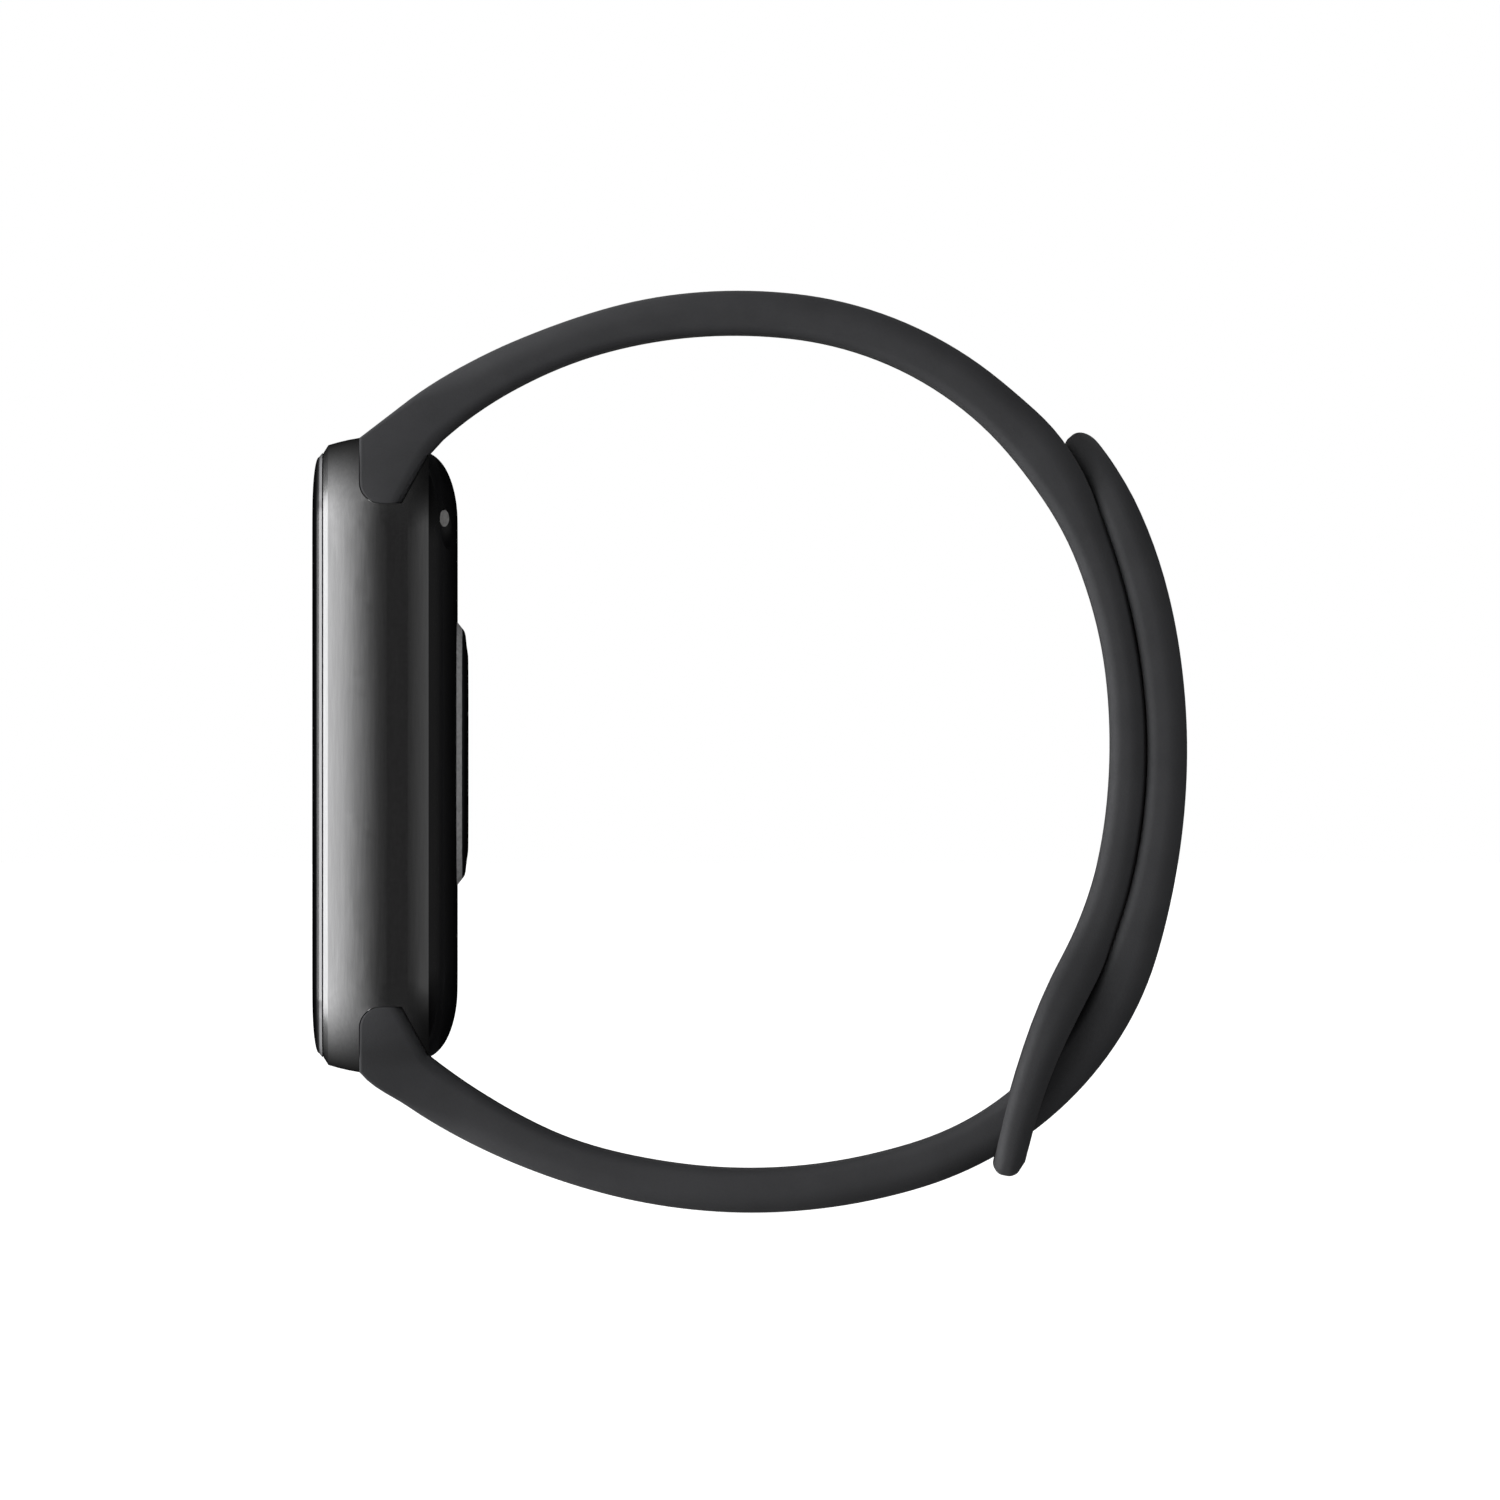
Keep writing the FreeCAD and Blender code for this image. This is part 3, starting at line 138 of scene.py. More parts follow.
# An edge's radius stays under this share of the half width, and leaves this share of the thickness
EDGE_SHARE = 0.9
LEAST_EDGE = 0.02

# Display glass, back to front: (x, width, length, corner)
GLASS_BACK = (-31.35, 23.1, 40.5, 5.05)
GLASS_EDGE = (-31.58, 22.54, 39.94, 4.77)
GLASS_FLAT = (-32.02, 16.4, 33.1, 2.4)
GLASS_BEVEL_SHARES = (0.0, 0.12, 0.5, 0.88, 1.0)
GLASS_SHOULDER_STEPS = 18
GLASS_INSETS = (0.4, 2.0, 4.0)
GLASS_INSET_CORNER = 0.25
# The bevel's lighter grey (ground glass, plus painted light standing in for light passing through the
# edge) fades in over this stretch of x, measured from the edge's x
BEVEL_FADE = (-0.01, 0.1)

HOLE_FIRST = 33.0
HOLE_PITCH = 7.0
HOLE_COUNT = 7
HOLE_HALF_LENGTH = 2.7
HOLE_HALF_WIDTH = 1.9
HOLE_LIP = 0.38
HOLE_BLOCK_GAP = 0.15

# The keeper's slot slants through the strap: its start and end on the outer face and the inner face
SLOT_OUTER = (85.4, 94.95)
SLOT_INNER = (92.0, 96.95)
SLOT_HALF_WIDTH = 8.1
SLOT_LIP = 0.35
SLOT_CORNER = 1.3
SLOT_BLOCK = (84.6, 97.55)

# The stud's cap lies in a round recess of the lower strap's outer face
STUD_STATION = 85.6
RECESS_RADIUS = 3.66
RECESS_DEPTH = 0.7
RECESS_LIP = 0.18
RECESS_BLOCK = (81.0, 89.8)
CAP_RADIUS = 3.6
CAP_BACK = 0.68
CAP_SINK = 0.03
CAP_RIM = 0.14
CAP_SIDES = 64

# Stretch of the lower strap between the case's body and the tip's body
PEEL_SPAN = (69.7, 77.7)

# Latch springs: they stand on the chamber's floor, and the button's flange presses their far end
SPRING_LOW_X = -27.89
SPRING_HIGH_X = -26.62
SPRING_RADIUS = 0.45
SPRING_WIRE = 0.08
SPRING_TURNS = 4
SPRING_STEPS_PER_TURN = 28
SPRING_SIDES = 10
SPRING_Y = 3.0
SPRING_Z = 18.4

# Columns across a strap's flat middle, as shares of its half width, and steps round each long edge
HALF_CELLS = [0.125, 0.25, 0.375, 0.5, 0.66, 0.83, 1]
FLAT_CELLS = [-share for share in HALF_CELLS[::-1]] + [0] + HALF_CELLS
EDGE_STEPS = 7
# Columns of the flat middle that each kind of opening takes up
HOLE_CELLS = (3, 11)
RECESS_CELLS = (1, 13)
SLOT_CELLS = (0, 14)
# Rows of the root between its floor and its shoulder, close together round the floor's corner
ROOT_ROWS = [0.0, 0.008, 0.025, 0.05, 0.09, 0.14, 0.2, 0.26, 0.32, 0.4, 0.52, 0.64, 0.76, 0.88]
# Rows from the shoulder up to the free strap, and the rows' distance and counts further on
SHOULDER_ROWS = [0.0, 0.2, 0.4, 0.6, 0.8, 1.0]
ROW_STEP = 0.75
LEAST_GAP = 0.05
BLOCK_ROWS = 8
TIP_ROWS = 16
TIP_END_GAP = 0.004
# Rings between a block's border and the opening's lip, as shares of the way, and steps of the lip
BLOCK_RINGS = (0.34, 0.67)
LIP_STEPS = 4
# How many times the search for an opening's edge halves its stretch
EDGE_HALVINGS = 40


def smooth_table(table, s, reach=2.5):
    """Value of a stepped table at s, averaged over a short stretch so that it has no kinks."""
    def straight(x):
        for (s0, v0), (s1, v1) in zip(table, table[1:]):
            if x <= s1:
                return v0 + (v1 - v0) * max(0.0, (x - s0) / (s1 - s0))
        return table[-1][1]
    samples = 9
    return sum(straight(s + reach * (2 * i / (samples - 1) - 1)) for i in range(samples)) / samples


class CentreLine:
    """A strap's centre line in the XZ plane."""

    def __init__(self, start, arcs, thickness, swell, outer_side):
        self.start = start
        self.arcs = arcs
        self.thickness = thickness
        self.swell = swell
        self.outer_side = outer_side
        self.length = sum(length for _, length in arcs)

    def at(self, s):
        """Place and heading at distance s."""
        x, z, heading = self.start[0], self.start[1], math.radians(self.start[2])
        for i, (radius, length) in enumerate(self.arcs):
            run = s if i == len(self.arcs) - 1 else min(s, length)
            turned = heading + run / radius
            x += radius * (math.sin(turned) - math.sin(heading))
            z -= radius * (math.cos(turned) - math.cos(heading))
            heading = turned
            s -= run
            if abs(s) <= 1e-9:
                break
        return x, z, heading

    def rails(self, s):
        """Points on the outer and inner faces at distance s."""
        x, z, heading = self.at(s)
        half = smooth_table(self.thickness, s) / 2
        nx = -self.outer_side * math.sin(heading)
        nz = self.outer_side * math.cos(heading)
        outer = half + smooth_table(self.swell[1], s)
        inner = half + smooth_table(self.swell[-1], s)
        return (x + nx * outer, z + nz * outer), (x - nx * inner, z - nz * inner)


UPPER = CentreLine(UPPER_START, UPPER_ARCS, UPPER_THICKNESS, UPPER_SWELL, 1)
LOWER = CentreLine(LOWER_START, LOWER_ARCS, LOWER_THICKNESS, LOWER_SWELL, -1)


# ---------------------------------------------------------------- strap surface

def mix(a, b, t):
    """A share t of the way from a to b."""
    return tuple(p + (q - p) * t for p, q in zip(a, b))


def ease(t):
    """Smooth step from 0 to 1."""
    t = min(1.0, max(0.0, t))
    return t * t * (3 - 2 * t)


def flank(z):
    """Half width of the case's outline at height z, or None past its rounded corner."""
    z = abs(z)
    turn_z = CASE_FLANK_Z + CASE_CORNER * math.sin(FLANK_TURN)
    if z <= CASE_FLANK_Z:
        return CASE_HALF_WIDTH
    if z <= turn_z:
        rise = z - CASE_FLANK_Z
        return CASE_HALF_WIDTH - CASE_CORNER + math.sqrt(CASE_CORNER ** 2 - rise ** 2)
    return None


def neck(z, half):
    """Half width from the case's rounded corner to the strap's own width: one smooth curve."""
    inside = flank(z)
    if inside is not None:
        return inside
    z = abs(z)
    turn_z = CASE_FLANK_Z + CASE_CORNER * math.sin(FLANK_TURN)
    start = CASE_HALF_WIDTH - CASE_CORNER + CASE_CORNER * math.cos(FLANK_TURN)
    slope = -math.tan(FLANK_TURN)
    t = min(1.0, (z - turn_z) / NECK_RUN)
    h00 = 2 * t ** 3 - 3 * t ** 2 + 1
    h10 = t ** 3 - 2 * t ** 2 + t
    h01 = 3 * t ** 2 - 2 * t ** 3
    return h00 * start + h10 * NECK_RUN * slope + h01 * half


class StrapPlan:
    """Shape of a strap at each distance along it: rails, half width and edge rounding."""

    def __init__(self, line, half, end, tip_corner, tip_length, flare=None, root_bow=0.0):
        self.line = line
        self.half = half
        self.end = end
        self.flare = flare
        self.tip_corner = tip_corner
        self.root_bow = root_bow
        self.stop = line.length + tip_length

    def rails(self, s):
        """Points on the outer and inner faces; negative s is inside the case's notch."""
        if s >= FREE_STATION:
            return self.line.rails(s)
        end = self.end
        lip = (ROOT_BACK_X + ROOT_LEAN * (ROOT_LIP_Z - ROOT_FLOOR_Z), end * ROOT_LIP_Z)
        shoulder = (ROOT_FRONT_X, end * ROOT_SHOULDER_Z)
        if s >= 0:
            t = s / FREE_STATION
            outer, inner = self.line.rails(FREE_STATION)
            bow = self.root_bow * BOW_SCALE * t * (1 - t) ** 2
            x, z = mix(shoulder, outer, t)
            return (x - bow * BOW_X, z + end * bow * BOW_Z), mix(lip, inner, t)
        return self.root_rails(1 + s)

    def root_rails(self, t):
        """Points on the root's front and back; t runs from the notch's floor to the shoulder."""
        end = self.end
        front_z = ROOT_FLOOR_Z + (ROOT_SHOULDER_Z - ROOT_FLOOR_Z) * t
        back_z = ROOT_FLOOR_Z + (ROOT_LIP_Z - ROOT_FLOOR_Z) * t
        front_x = ROOT_FRONT_X
        below = ROOT_FLOOR_Z + ROOT_CORNER - front_z
        if below > 0:
            front_x += ROOT_CORNER - math.sqrt(max(0.0, ROOT_CORNER ** 2 - below ** 2))
        back_x = ROOT_BACK_X + ROOT_LEAN * (back_z - ROOT_FLOOR_Z)
        low = ROOT_FLOOR_Z + ROOT_BACK_CORNER - back_z
        if low > 0:
            back_x -= ROOT_BACK_CORNER - math.sqrt(max(0.0, ROOT_BACK_CORNER ** 2 - low ** 2))
        return (front_x, end * front_z), (back_x, end * back_z)

    def straight_half(self, s):
        """Half width away from the root and the tip."""
        if self.flare is None:
            return self.half
        s0, s1, wide = self.flare
        return self.half + (wide - self.half) * ease((s - s0) / (s1 - s0))

    def width(self, s, point):
        """Half width at a row for a point of that row."""
        if s < NECK_END:
            return neck(point[1], self.half)
        w = self.straight_half(s)
        left = self.stop - s
        corner = self.tip_corner
        if left < corner:
            w = w - corner + math.sqrt(max(0.0, corner ** 2 - (corner - left) ** 2))
        return w

    def edge_round(self, s, side=1):
        """Radius of the long edges; side is 1 for the outer face's edges, -1 for the inner's."""
        start = ROOT_EDGE_ROUND[side]
        return start + (EDGE_ROUND[side] - start) * ease((s - EDGE_ROUND_START) / EDGE_ROUND_RUN)

    def plan_distance(self, s, v, w):
        """How far a point of the plan lies from the strap's edge."""
        if s < NECK_END:
            return w - abs(v)
        dy = self.straight_half(s) - abs(v)
        dx = self.stop - s
        corner = self.tip_corner
        if dx < corner and dy < corner:
            return max(0.0, corner - math.hypot(corner - dx, corner - dy))
        return max(0.0, min(dx, dy))

    def place(self, s, v, b):
        """Surface point: v across in mm, b from -1 (inner face) to 1 (outer face)."""
        outer, inner = self.rails(s)
        x, z = mix(inner, outer, (b + 1) / 2)
        return Vector((x, v, z)) * MM

    def rise(self, s, d, side=1):
        """How much of the half thickness is left at distance d from the edge."""
        r = self.edge_round(s, side)
        outer, inner = self.rails(s)
        half = math.dist(outer, inner) / 2
        least = max(LEAST_EDGE, 1 - r / half)
        if d >= r:
            return 1.0
        return least + (1 - least) * math.sqrt(max(0.0, 1 - ((r - d) / r) ** 2))


def row_positions(plan, s, w, side):
    """v positions across one row: rounded edge, flat middle, rounded edge."""
    r = min(plan.edge_round(s, side), EDGE_SHARE * w)
    turn = [math.pi / 2 * (EDGE_STEPS - i) / EDGE_STEPS for i in range(EDGE_STEPS)]
    edge = [w - r + r * math.sin(a) for a in turn]
    flat = [(w - r) * f for f in FLAT_CELLS]
    return [-v for v in edge] + flat + edge[::-1]


def rounded_box_distance(s, v, centre, half_s, half_v, corner):
    """Signed distance from a rounded rectangle in the plan."""
    ds = abs(s - centre[0]) - half_s + corner
    dv = abs(v - centre[1]) - half_v + corner
    outside = math.hypot(max(ds, 0.0), max(dv, 0.0))
    return outside + min(max(ds, dv), 0.0) - corner


def find_edge(centre, border, half_s, half_v, corner):
    """Share of the way from centre to border where the line leaves the rounded rectangle."""
    low, high = 0.0, 1.0
    for _ in range(EDGE_HALVINGS):
        t = (low + high) / 2
        s, v = mix(centre, border, t)
        if rounded_box_distance(s, v, centre, half_s, half_v, corner) > 0:
            high = t
        else:
            low = t
    return (low + high) / 2


class Opening:
    """A rounded opening: a through hole, or a recess of some depth in the outer face."""

    def __init__(self, outer_span, inner_span, half_v, corner, lip, block_s, cells, depth=None):
        spans = {1: outer_span, -1: inner_span}
        self.centres = {side: ((start + stop) / 2, 0.0) for side, (start, stop) in spans.items()}
        self.halves = {side: (stop - start) / 2 for side, (start, stop) in spans.items()}
        self.half_v = half_v
        self.corner = corner
        self.lip = lip
        self.block = block_s
        self.cells = cells
        self.depth = depth


def block_rows(opening):
    """Distances of the rows that cross an opening's block."""
    s0, s1 = opening.block
    return [s0 + (s1 - s0) * i / BLOCK_ROWS for i in range(BLOCK_ROWS + 1)]


def strap_rows(plan, openings):
    """Distances of all rows: dense at the root and tip, and on each opening's block lines."""
    rows = [-1 + t for t in ROOT_ROWS] + SHOULDER_ROWS
    fixed = sorted(block_rows(opening) for opening in openings)
    s = FREE_STATION
    for lines in fixed + [[plan.stop - plan.tip_corner]]:
        gap = lines[0] - s
        if gap > LEAST_GAP:
            count = max(1, round(gap / ROW_STEP))
            rows += [s + gap * i / count for i in range(count)]
        rows += lines[:-1] if len(lines) > 1 else []
        s = max(s, lines[-1])
    tip = plan.stop - s
    rows += [s + tip * math.sin(math.pi / 2 * i / TIP_ROWS) for i in range(TIP_ROWS)]
    rows.append(plan.stop - TIP_END_GAP)
    return rows


def row_point(plan, s, v, w, side):
    """A vertex of one face; near the root its width follows the case's outline."""
    b = side * plan.rise(s, plan.plan_distance(s, v, w), side)
    if s >= NECK_END:
        return plan.place(s, v, b)
    spot = plan.place(s, 0, b)
    inset = max(0.0, FRAME_FLAT_X - spot.x / MM) ** 2 / FRAME_BULGE / 2
    spot.y = v / w * (neck(spot.z / MM, plan.half) - inset) * MM
    return spot


def strap_grids(mesh, plan, rows):
    """Vertices of the outer and inner faces, row by row, and their places in the plan."""
    top, bottom, places = [], [], []
    for s in rows:
        outer, inner = plan.rails(s)
        w = plan.width(s, mix(inner, outer, 0.5))
        rows_at = {side: row_positions(plan, s, w, side) for side in (1, -1)}
        top.append([mesh.verts.new(row_point(plan, s, v, w, 1)) for v in rows_at[1]])
        bottom.append([mesh.verts.new(row_point(plan, s, v, w, -1)) for v in rows_at[-1]])
        places.append([(s, v) for v in rows_at[1]])
    return top, bottom, places


def cell_range(rows, opening):
    """First and last row and column of the grid block that an opening takes up."""
    i0, i1 = (min(range(len(rows)), key=lambda i: abs(rows[i] - edge)) for edge in opening.block)
    low, high = opening.cells
    return i0, i1, EDGE_STEPS + low, EDGE_STEPS + high


def skin_faces(mesh, top, bottom, cut_top, cut_bottom):
    """Faces of both sides apart from the cut cells, the long edges, and the two ends."""
    last = len(top[0]) - 1
    for i in range(len(top) - 1):
        for j in range(last):
            if (i, j) not in cut_top:
                mesh.faces.new((top[i][j], top[i][j + 1], top[i + 1][j + 1], top[i + 1][j]))
            if (i, j) not in cut_bottom:
                mesh.faces.new((bottom[i][j], bottom[i + 1][j], bottom[i + 1][j + 1],
                                bottom[i][j + 1]))
        for j in (0, last):
            mesh.faces.new((top[i][j], top[i + 1][j], bottom[i + 1][j], bottom[i][j]))
    for i in (0, len(top) - 1):
        for j in range(last):
            mesh.faces.new((top[i][j], top[i][j + 1], bottom[i][j + 1], bottom[i][j]))


def build_strap(name, plan, openings):
    """Closed strap mesh with its openings, as quads."""
    mesh = bmesh.new()
    rows = strap_rows(plan, openings)
    top, bottom, places = strap_grids(mesh, plan, rows)
    blocks = {opening: cell_range(rows, opening) for opening in openings}
    cut_top, cut_bottom = set(), set()
    for opening, (i0, i1, j0, j1) in blocks.items():
        cells = {(i, j) for i in range(i0, i1) for j in range(j0, j1)}
        cut_top |= cells
        if opening.depth is None:
            cut_bottom |= cells
    skin_faces(mesh, top, bottom, cut_top, cut_bottom)
    for opening, block in blocks.items():
        fill_opening(mesh, plan, opening, block, top, bottom, places)
    bmesh.ops.recalc_face_normals(mesh, faces=mesh.faces)
    return finish_mesh(name, mesh)


def border_of(block):
    """Grid places round a block, in order."""
    i0, i1, j0, j1 = block
    walk = [(i0, j) for j in range(j0, j1)]
    walk += [(i, j1) for i in range(i0, i1)]
    walk += [(i1, j) for j in range(j1, j0, -1)]
    walk += [(i, j0) for i in range(i1, i0, -1)]
    return walk


def lip_rings(opening, side, borders):
    """Rings of (place, drop) from a block's border over the opening's rounded lip to its edge."""
    centre = opening.centres[side]
    lip = opening.lip
    edges = [find_edge(centre, border, opening.halves[side], opening.half_v, opening.corner)
             for border in borders]
    rings = []
    for t in BLOCK_RINGS:
        rings.append([(mix(border, edge_point(centre, border, edge, lip), t), 0.0)
                      for border, edge in zip(borders, edges)])
    for i in range(LIP_STEPS + 1):
        angle = math.pi / 2 * i / LIP_STEPS
        away = lip * (1 - math.sin(angle))
        drop = lip * (1 - math.cos(angle))
        rings.append([(edge_point(centre, border, edge, away), drop)
                      for border, edge in zip(borders, edges)])
    return rings


def fill_opening(mesh, plan, opening, block, top, bottom, places):
    """Rings from the block's border over the opening's lip, its wall, and a recess's floor."""
    walk = border_of(block)
    borders = [places[i][j] for i, j in walk]
    sides = [(1, top)] if opening.depth is not None else [(1, top), (-1, bottom)]
    walls = []
    for side, grid in sides:
        ring = [grid[i][j] for i, j in walk]
        rings = lip_rings(opening, side, borders)
        for places_in_ring in rings:
            fresh = []
            for (s, v), drop in places_in_ring:
                fresh.append(mesh.verts.new(surface_point(plan, s, v, side, drop)))
            bridge(mesh, ring, fresh)
            ring = fresh
        walls.append((ring, rings[-1]))
    if opening.depth is None:
        bridge(mesh, walls[0][0], walls[1][0])
        return
    ring, spots = walls[0]
    low = [mesh.verts.new(surface_point(plan, s, v, 1, opening.depth)) for (s, v), _ in spots]
    bridge(mesh, ring, low)
    mesh.faces.new(low)


def edge_point(centre, border, edge, away):
    """A point standing off the opening's edge by a distance, on the line to the border."""
    reach = math.dist(centre, border)
    return mix(centre, border, edge + away / reach)


def surface_point(plan, s, v, side, drop):
    """A point of one face, sunk below it by drop."""
    outer, inner = plan.rails(s)
    half = math.dist(outer, inner) / 2
    w = plan.straight_half(s)
    b = plan.rise(s, plan.plan_distance(s, v, w), side)
    return plan.place(s, v, side * (b - drop / half))


def bridge(mesh, a, b):
    """Quads between two rings of the same length."""
    count = len(a)
    for k in range(count):
        mesh.faces.new((a[k], a[(k + 1) % count], b[(k + 1) % count], b[k]))


def tube(mesh, rings):
    """Faces through a row of rings, closed at both ends."""
    for a, b in zip(rings, rings[1:]):
        bridge(mesh, a, b)
    mesh.faces.new(rings[0])
    mesh.faces.new(rings[-1])


def finish_mesh(name, mesh):
    """Turn a bmesh into an object with smooth faces and crisp corners."""
    data = bpy.data.meshes.new(name)
    mesh.to_mesh(data)
    mesh.free()
    data.shade_smooth()
    data.set_sharp_from_angle(angle=CREASE_ANGLE)
    piece = bpy.data.objects.new(name, data)
    bpy.context.scene.collection.objects.link(piece)
    return piece


def make_upper_strap():
    """Upper strap: a row of holes, and a wide end with the keeper's slot."""
    plan = StrapPlan(UPPER, UPPER_HALF, 1, KEEPER_CORNER, UPPER_TIP_LENGTH,
                     flare=(*KEEPER_FLARE, KEEPER_HALF))
    reach = HOLE_PITCH / 2 - HOLE_BLOCK_GAP
    openings = []
    for i in range(HOLE_COUNT):
        s = HOLE_FIRST + i * HOLE_PITCH
        span = (s - HOLE_HALF_LENGTH, s + HOLE_HALF_LENGTH)
        openings.append(Opening(span, span, HOLE_HALF_WIDTH, HOLE_HALF_WIDTH, HOLE_LIP,
                                (s - reach, s + reach), HOLE_CELLS))
    openings.append(Opening(SLOT_OUTER, SLOT_INNER, SLOT_HALF_WIDTH, SLOT_CORNER, SLOT_LIP,
                            SLOT_BLOCK, SLOT_CELLS))
    return build_strap("upper_strap_skin", plan, openings)


def lower_plan():
    """Lower strap's shape; its stud's cap follows it too."""
    return StrapPlan(LOWER, LOWER_HALF, -1, LOWER_HALF, LOWER_TIP_LENGTH, root_bow=LOWER_ROOT_BOW)


def make_lower_strap():
    """Lower strap: a round tip with the recess of the stud's cap."""
    span = (STUD_STATION - RECESS_RADIUS, STUD_STATION + RECESS_RADIUS)
    recess = Opening(span, span, RECESS_RADIUS, RECESS_RADIUS, RECESS_LIP,
                     RECESS_BLOCK, RECESS_CELLS, depth=RECESS_DEPTH)
    return build_strap("lower_strap_skin", lower_plan(), [recess])


def make_cap():
    """Stud's cap: a disc curved with the strap, sunk a hair below its outer face."""
    mesh = bmesh.new()
    plan = lower_plan()
    face_steps, rim_steps, back_steps = 8, 5, 4
    profile = [(CAP_RADIUS * i / face_steps, CAP_SINK) for i in range(1, face_steps)]
    for i in range(rim_steps + 1):
        angle = math.pi / 2 * i / rim_steps
        profile.append((CAP_RADIUS - CAP_RIM * (1 - math.sin(angle)),
                        CAP_SINK + CAP_RIM * (1 - math.cos(angle))))
    profile += [(CAP_RADIUS * i / back_steps, CAP_BACK) for i in range(back_steps, 0, -1)]
    angles = [2 * math.pi * i / CAP_SIDES for i in range(CAP_SIDES)]
    rings = []
    for reach, drop in profile:
        spots = [(STUD_STATION + reach * math.cos(a), reach * math.sin(a)) for a in angles]
        rings.append([mesh.verts.new(surface_point(plan, s, v, 1, drop)) for s, v in spots])
    tube(mesh, rings)
    bmesh.ops.recalc_face_normals(mesh, faces=mesh.faces)
    return finish_mesh("stud_cap_skin", mesh)


# ---------------------------------------------------------------- display glass

def rounded_ring(mesh, x, width, length, corner):
    """Vertices round a rounded rectangle at one x."""
    ring = []
    turn_steps, side_steps = 12, 10
    quarters = [(1, 1, 0), (-1, 1, 90), (-1, -1, 180), (1, -1, 270)]
    points = []
    for side_y, side_z, start in quarters:
        cy = side_y * (width / 2 - corner)
        cz = side_z * (length / 2 - corner)
        angles = [math.radians(start + 90 * i / turn_steps) for i in range(turn_steps + 1)]
        points.append([(cy + corner * math.cos(a), cz + corner * math.sin(a)) for a in angles])
    for quarter, following in zip(points, points[1:] + points[:1]):
        ring += quarter
        ring += [mix(quarter[-1], following[0], i / side_steps) for i in range(1, side_steps)]
    return [mesh.verts.new(Vector((x, y, z)) * MM) for y, z in ring]


def make_glass():
    """Display glass: a bevelled edge, a smooth shoulder and a flat face."""
    mesh = bmesh.new()
    sections = [mix(GLASS_BACK, GLASS_EDGE, t) for t in GLASS_BEVEL_SHARES]
    for i in range(1, GLASS_SHOULDER_STEPS + 1):
        angle = math.pi / 2 * i / GLASS_SHOULDER_STEPS
        x = GLASS_EDGE[0] + (GLASS_FLAT[0] - GLASS_EDGE[0]) * math.sin(angle)
        sections.append((x, *mix(GLASS_FLAT[1:], GLASS_EDGE[1:], math.cos(angle))))
    x, width, length, corner = GLASS_FLAT
    sections += [(x, width - 2 * inset, length - 2 * inset, corner - GLASS_INSET_CORNER * inset)
                 for inset in GLASS_INSETS]
    tube(mesh, [rounded_ring(mesh, *section) for section in sections])
    bmesh.ops.recalc_face_normals(mesh, faces=mesh.faces)
    return finish_mesh("cover_glass_skin", mesh)


# ---------------------------------------------------------------- latch springs

def coil(mesh, centre_y, centre_z):
    """One coil spring along X, as a closed tube round a helix."""
    rings = []
    angles = [2 * math.pi * k / SPRING_SIDES for k in range(SPRING_SIDES)]
    steps = SPRING_TURNS * SPRING_STEPS_PER_TURN
    low = SPRING_LOW_X + SPRING_WIRE
    high = SPRING_HIGH_X - SPRING_WIRE
    for i in range(steps + 1):
        along = i / steps
        turn = 2 * math.pi * SPRING_TURNS * along
        out = Vector((0, math.cos(turn), math.sin(turn)))
        spot = Vector((low + (high - low) * along, centre_y, centre_z)) + out * SPRING_RADIUS
        around = [out * math.cos(a) + Vector((math.sin(a), 0, 0)) for a in angles]
        rings.append([mesh.verts.new((spot + way * SPRING_WIRE) * MM) for way in around])
    tube(mesh, rings)


def make_springs(name, end, material):
    """A latch's two coil springs, which take the place of the CAD node of that name."""
    mesh = bmesh.new()
    for side in (-1, 1):
        coil(mesh, side * SPRING_Y, end * SPRING_Z)
    bmesh.ops.recalc_face_normals(mesh, faces=mesh.faces)
    springs = finish_mesh(name + "_skin", mesh)
    dress(springs, material)
    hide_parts(name)
    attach(springs, "root")
    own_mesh(springs)


# ---------------------------------------------------------------- materials

def new_material(name):
    """A material with nodes, its tree and its shader."""
    material = bpy.data.materials.new(name)
    material.use_nodes = True
    tree = material.node_tree
    shader = tree.nodes["Principled BSDF"]
    return material, tree, shader


def noise(tree, scale, detail=4.0, roughness=0.6, stretch=None):
    """Noise over object coordinates, in metres."""
    place = tree.nodes.new("ShaderNodeTexCoord")
    texture = tree.nodes.new("ShaderNodeTexNoise")
    texture.inputs["Scale"].default_value = scale
    texture.inputs["Detail"].default_value = detail
    texture.inputs["Roughness"].default_value = roughness
    source = place.outputs["Object"]
    if stretch:
        mapping = tree.nodes.new("ShaderNodeMapping")
        mapping.inputs["Scale"].default_value = stretch
        tree.links.new(source, mapping.inputs["Vector"])
        source = mapping.outputs["Vector"]
    tree.links.new(source, texture.inputs["Vector"])
    return texture.outputs["Fac"]


def ramp(tree, value, low, high, start=0.35, stop=0.65):
    """Map a noise value to a plain range."""
    node = tree.nodes.new("ShaderNodeMapRange")
    node.inputs["From Min"].default_value = start
    node.inputs["From Max"].default_value = stop
    node.inputs["To Min"].default_value = low
    node.inputs["To Max"].default_value = high
    tree.links.new(value, node.inputs["Value"])
    return node.outputs["Result"]


def tint(tree, value, dark, light, start=0.35, stop=0.65):
    """Mix two colours by a noise value."""
    node = tree.nodes.new("ShaderNodeMix")
    node.data_type = "RGBA"
    node.inputs["A"].default_value = (*dark, 1)
    node.inputs["B"].default_value = (*light, 1)
    tree.links.new(ramp(tree, value, 0, 1, start, stop), node.inputs["Factor"])
    return node.outputs["Result"]


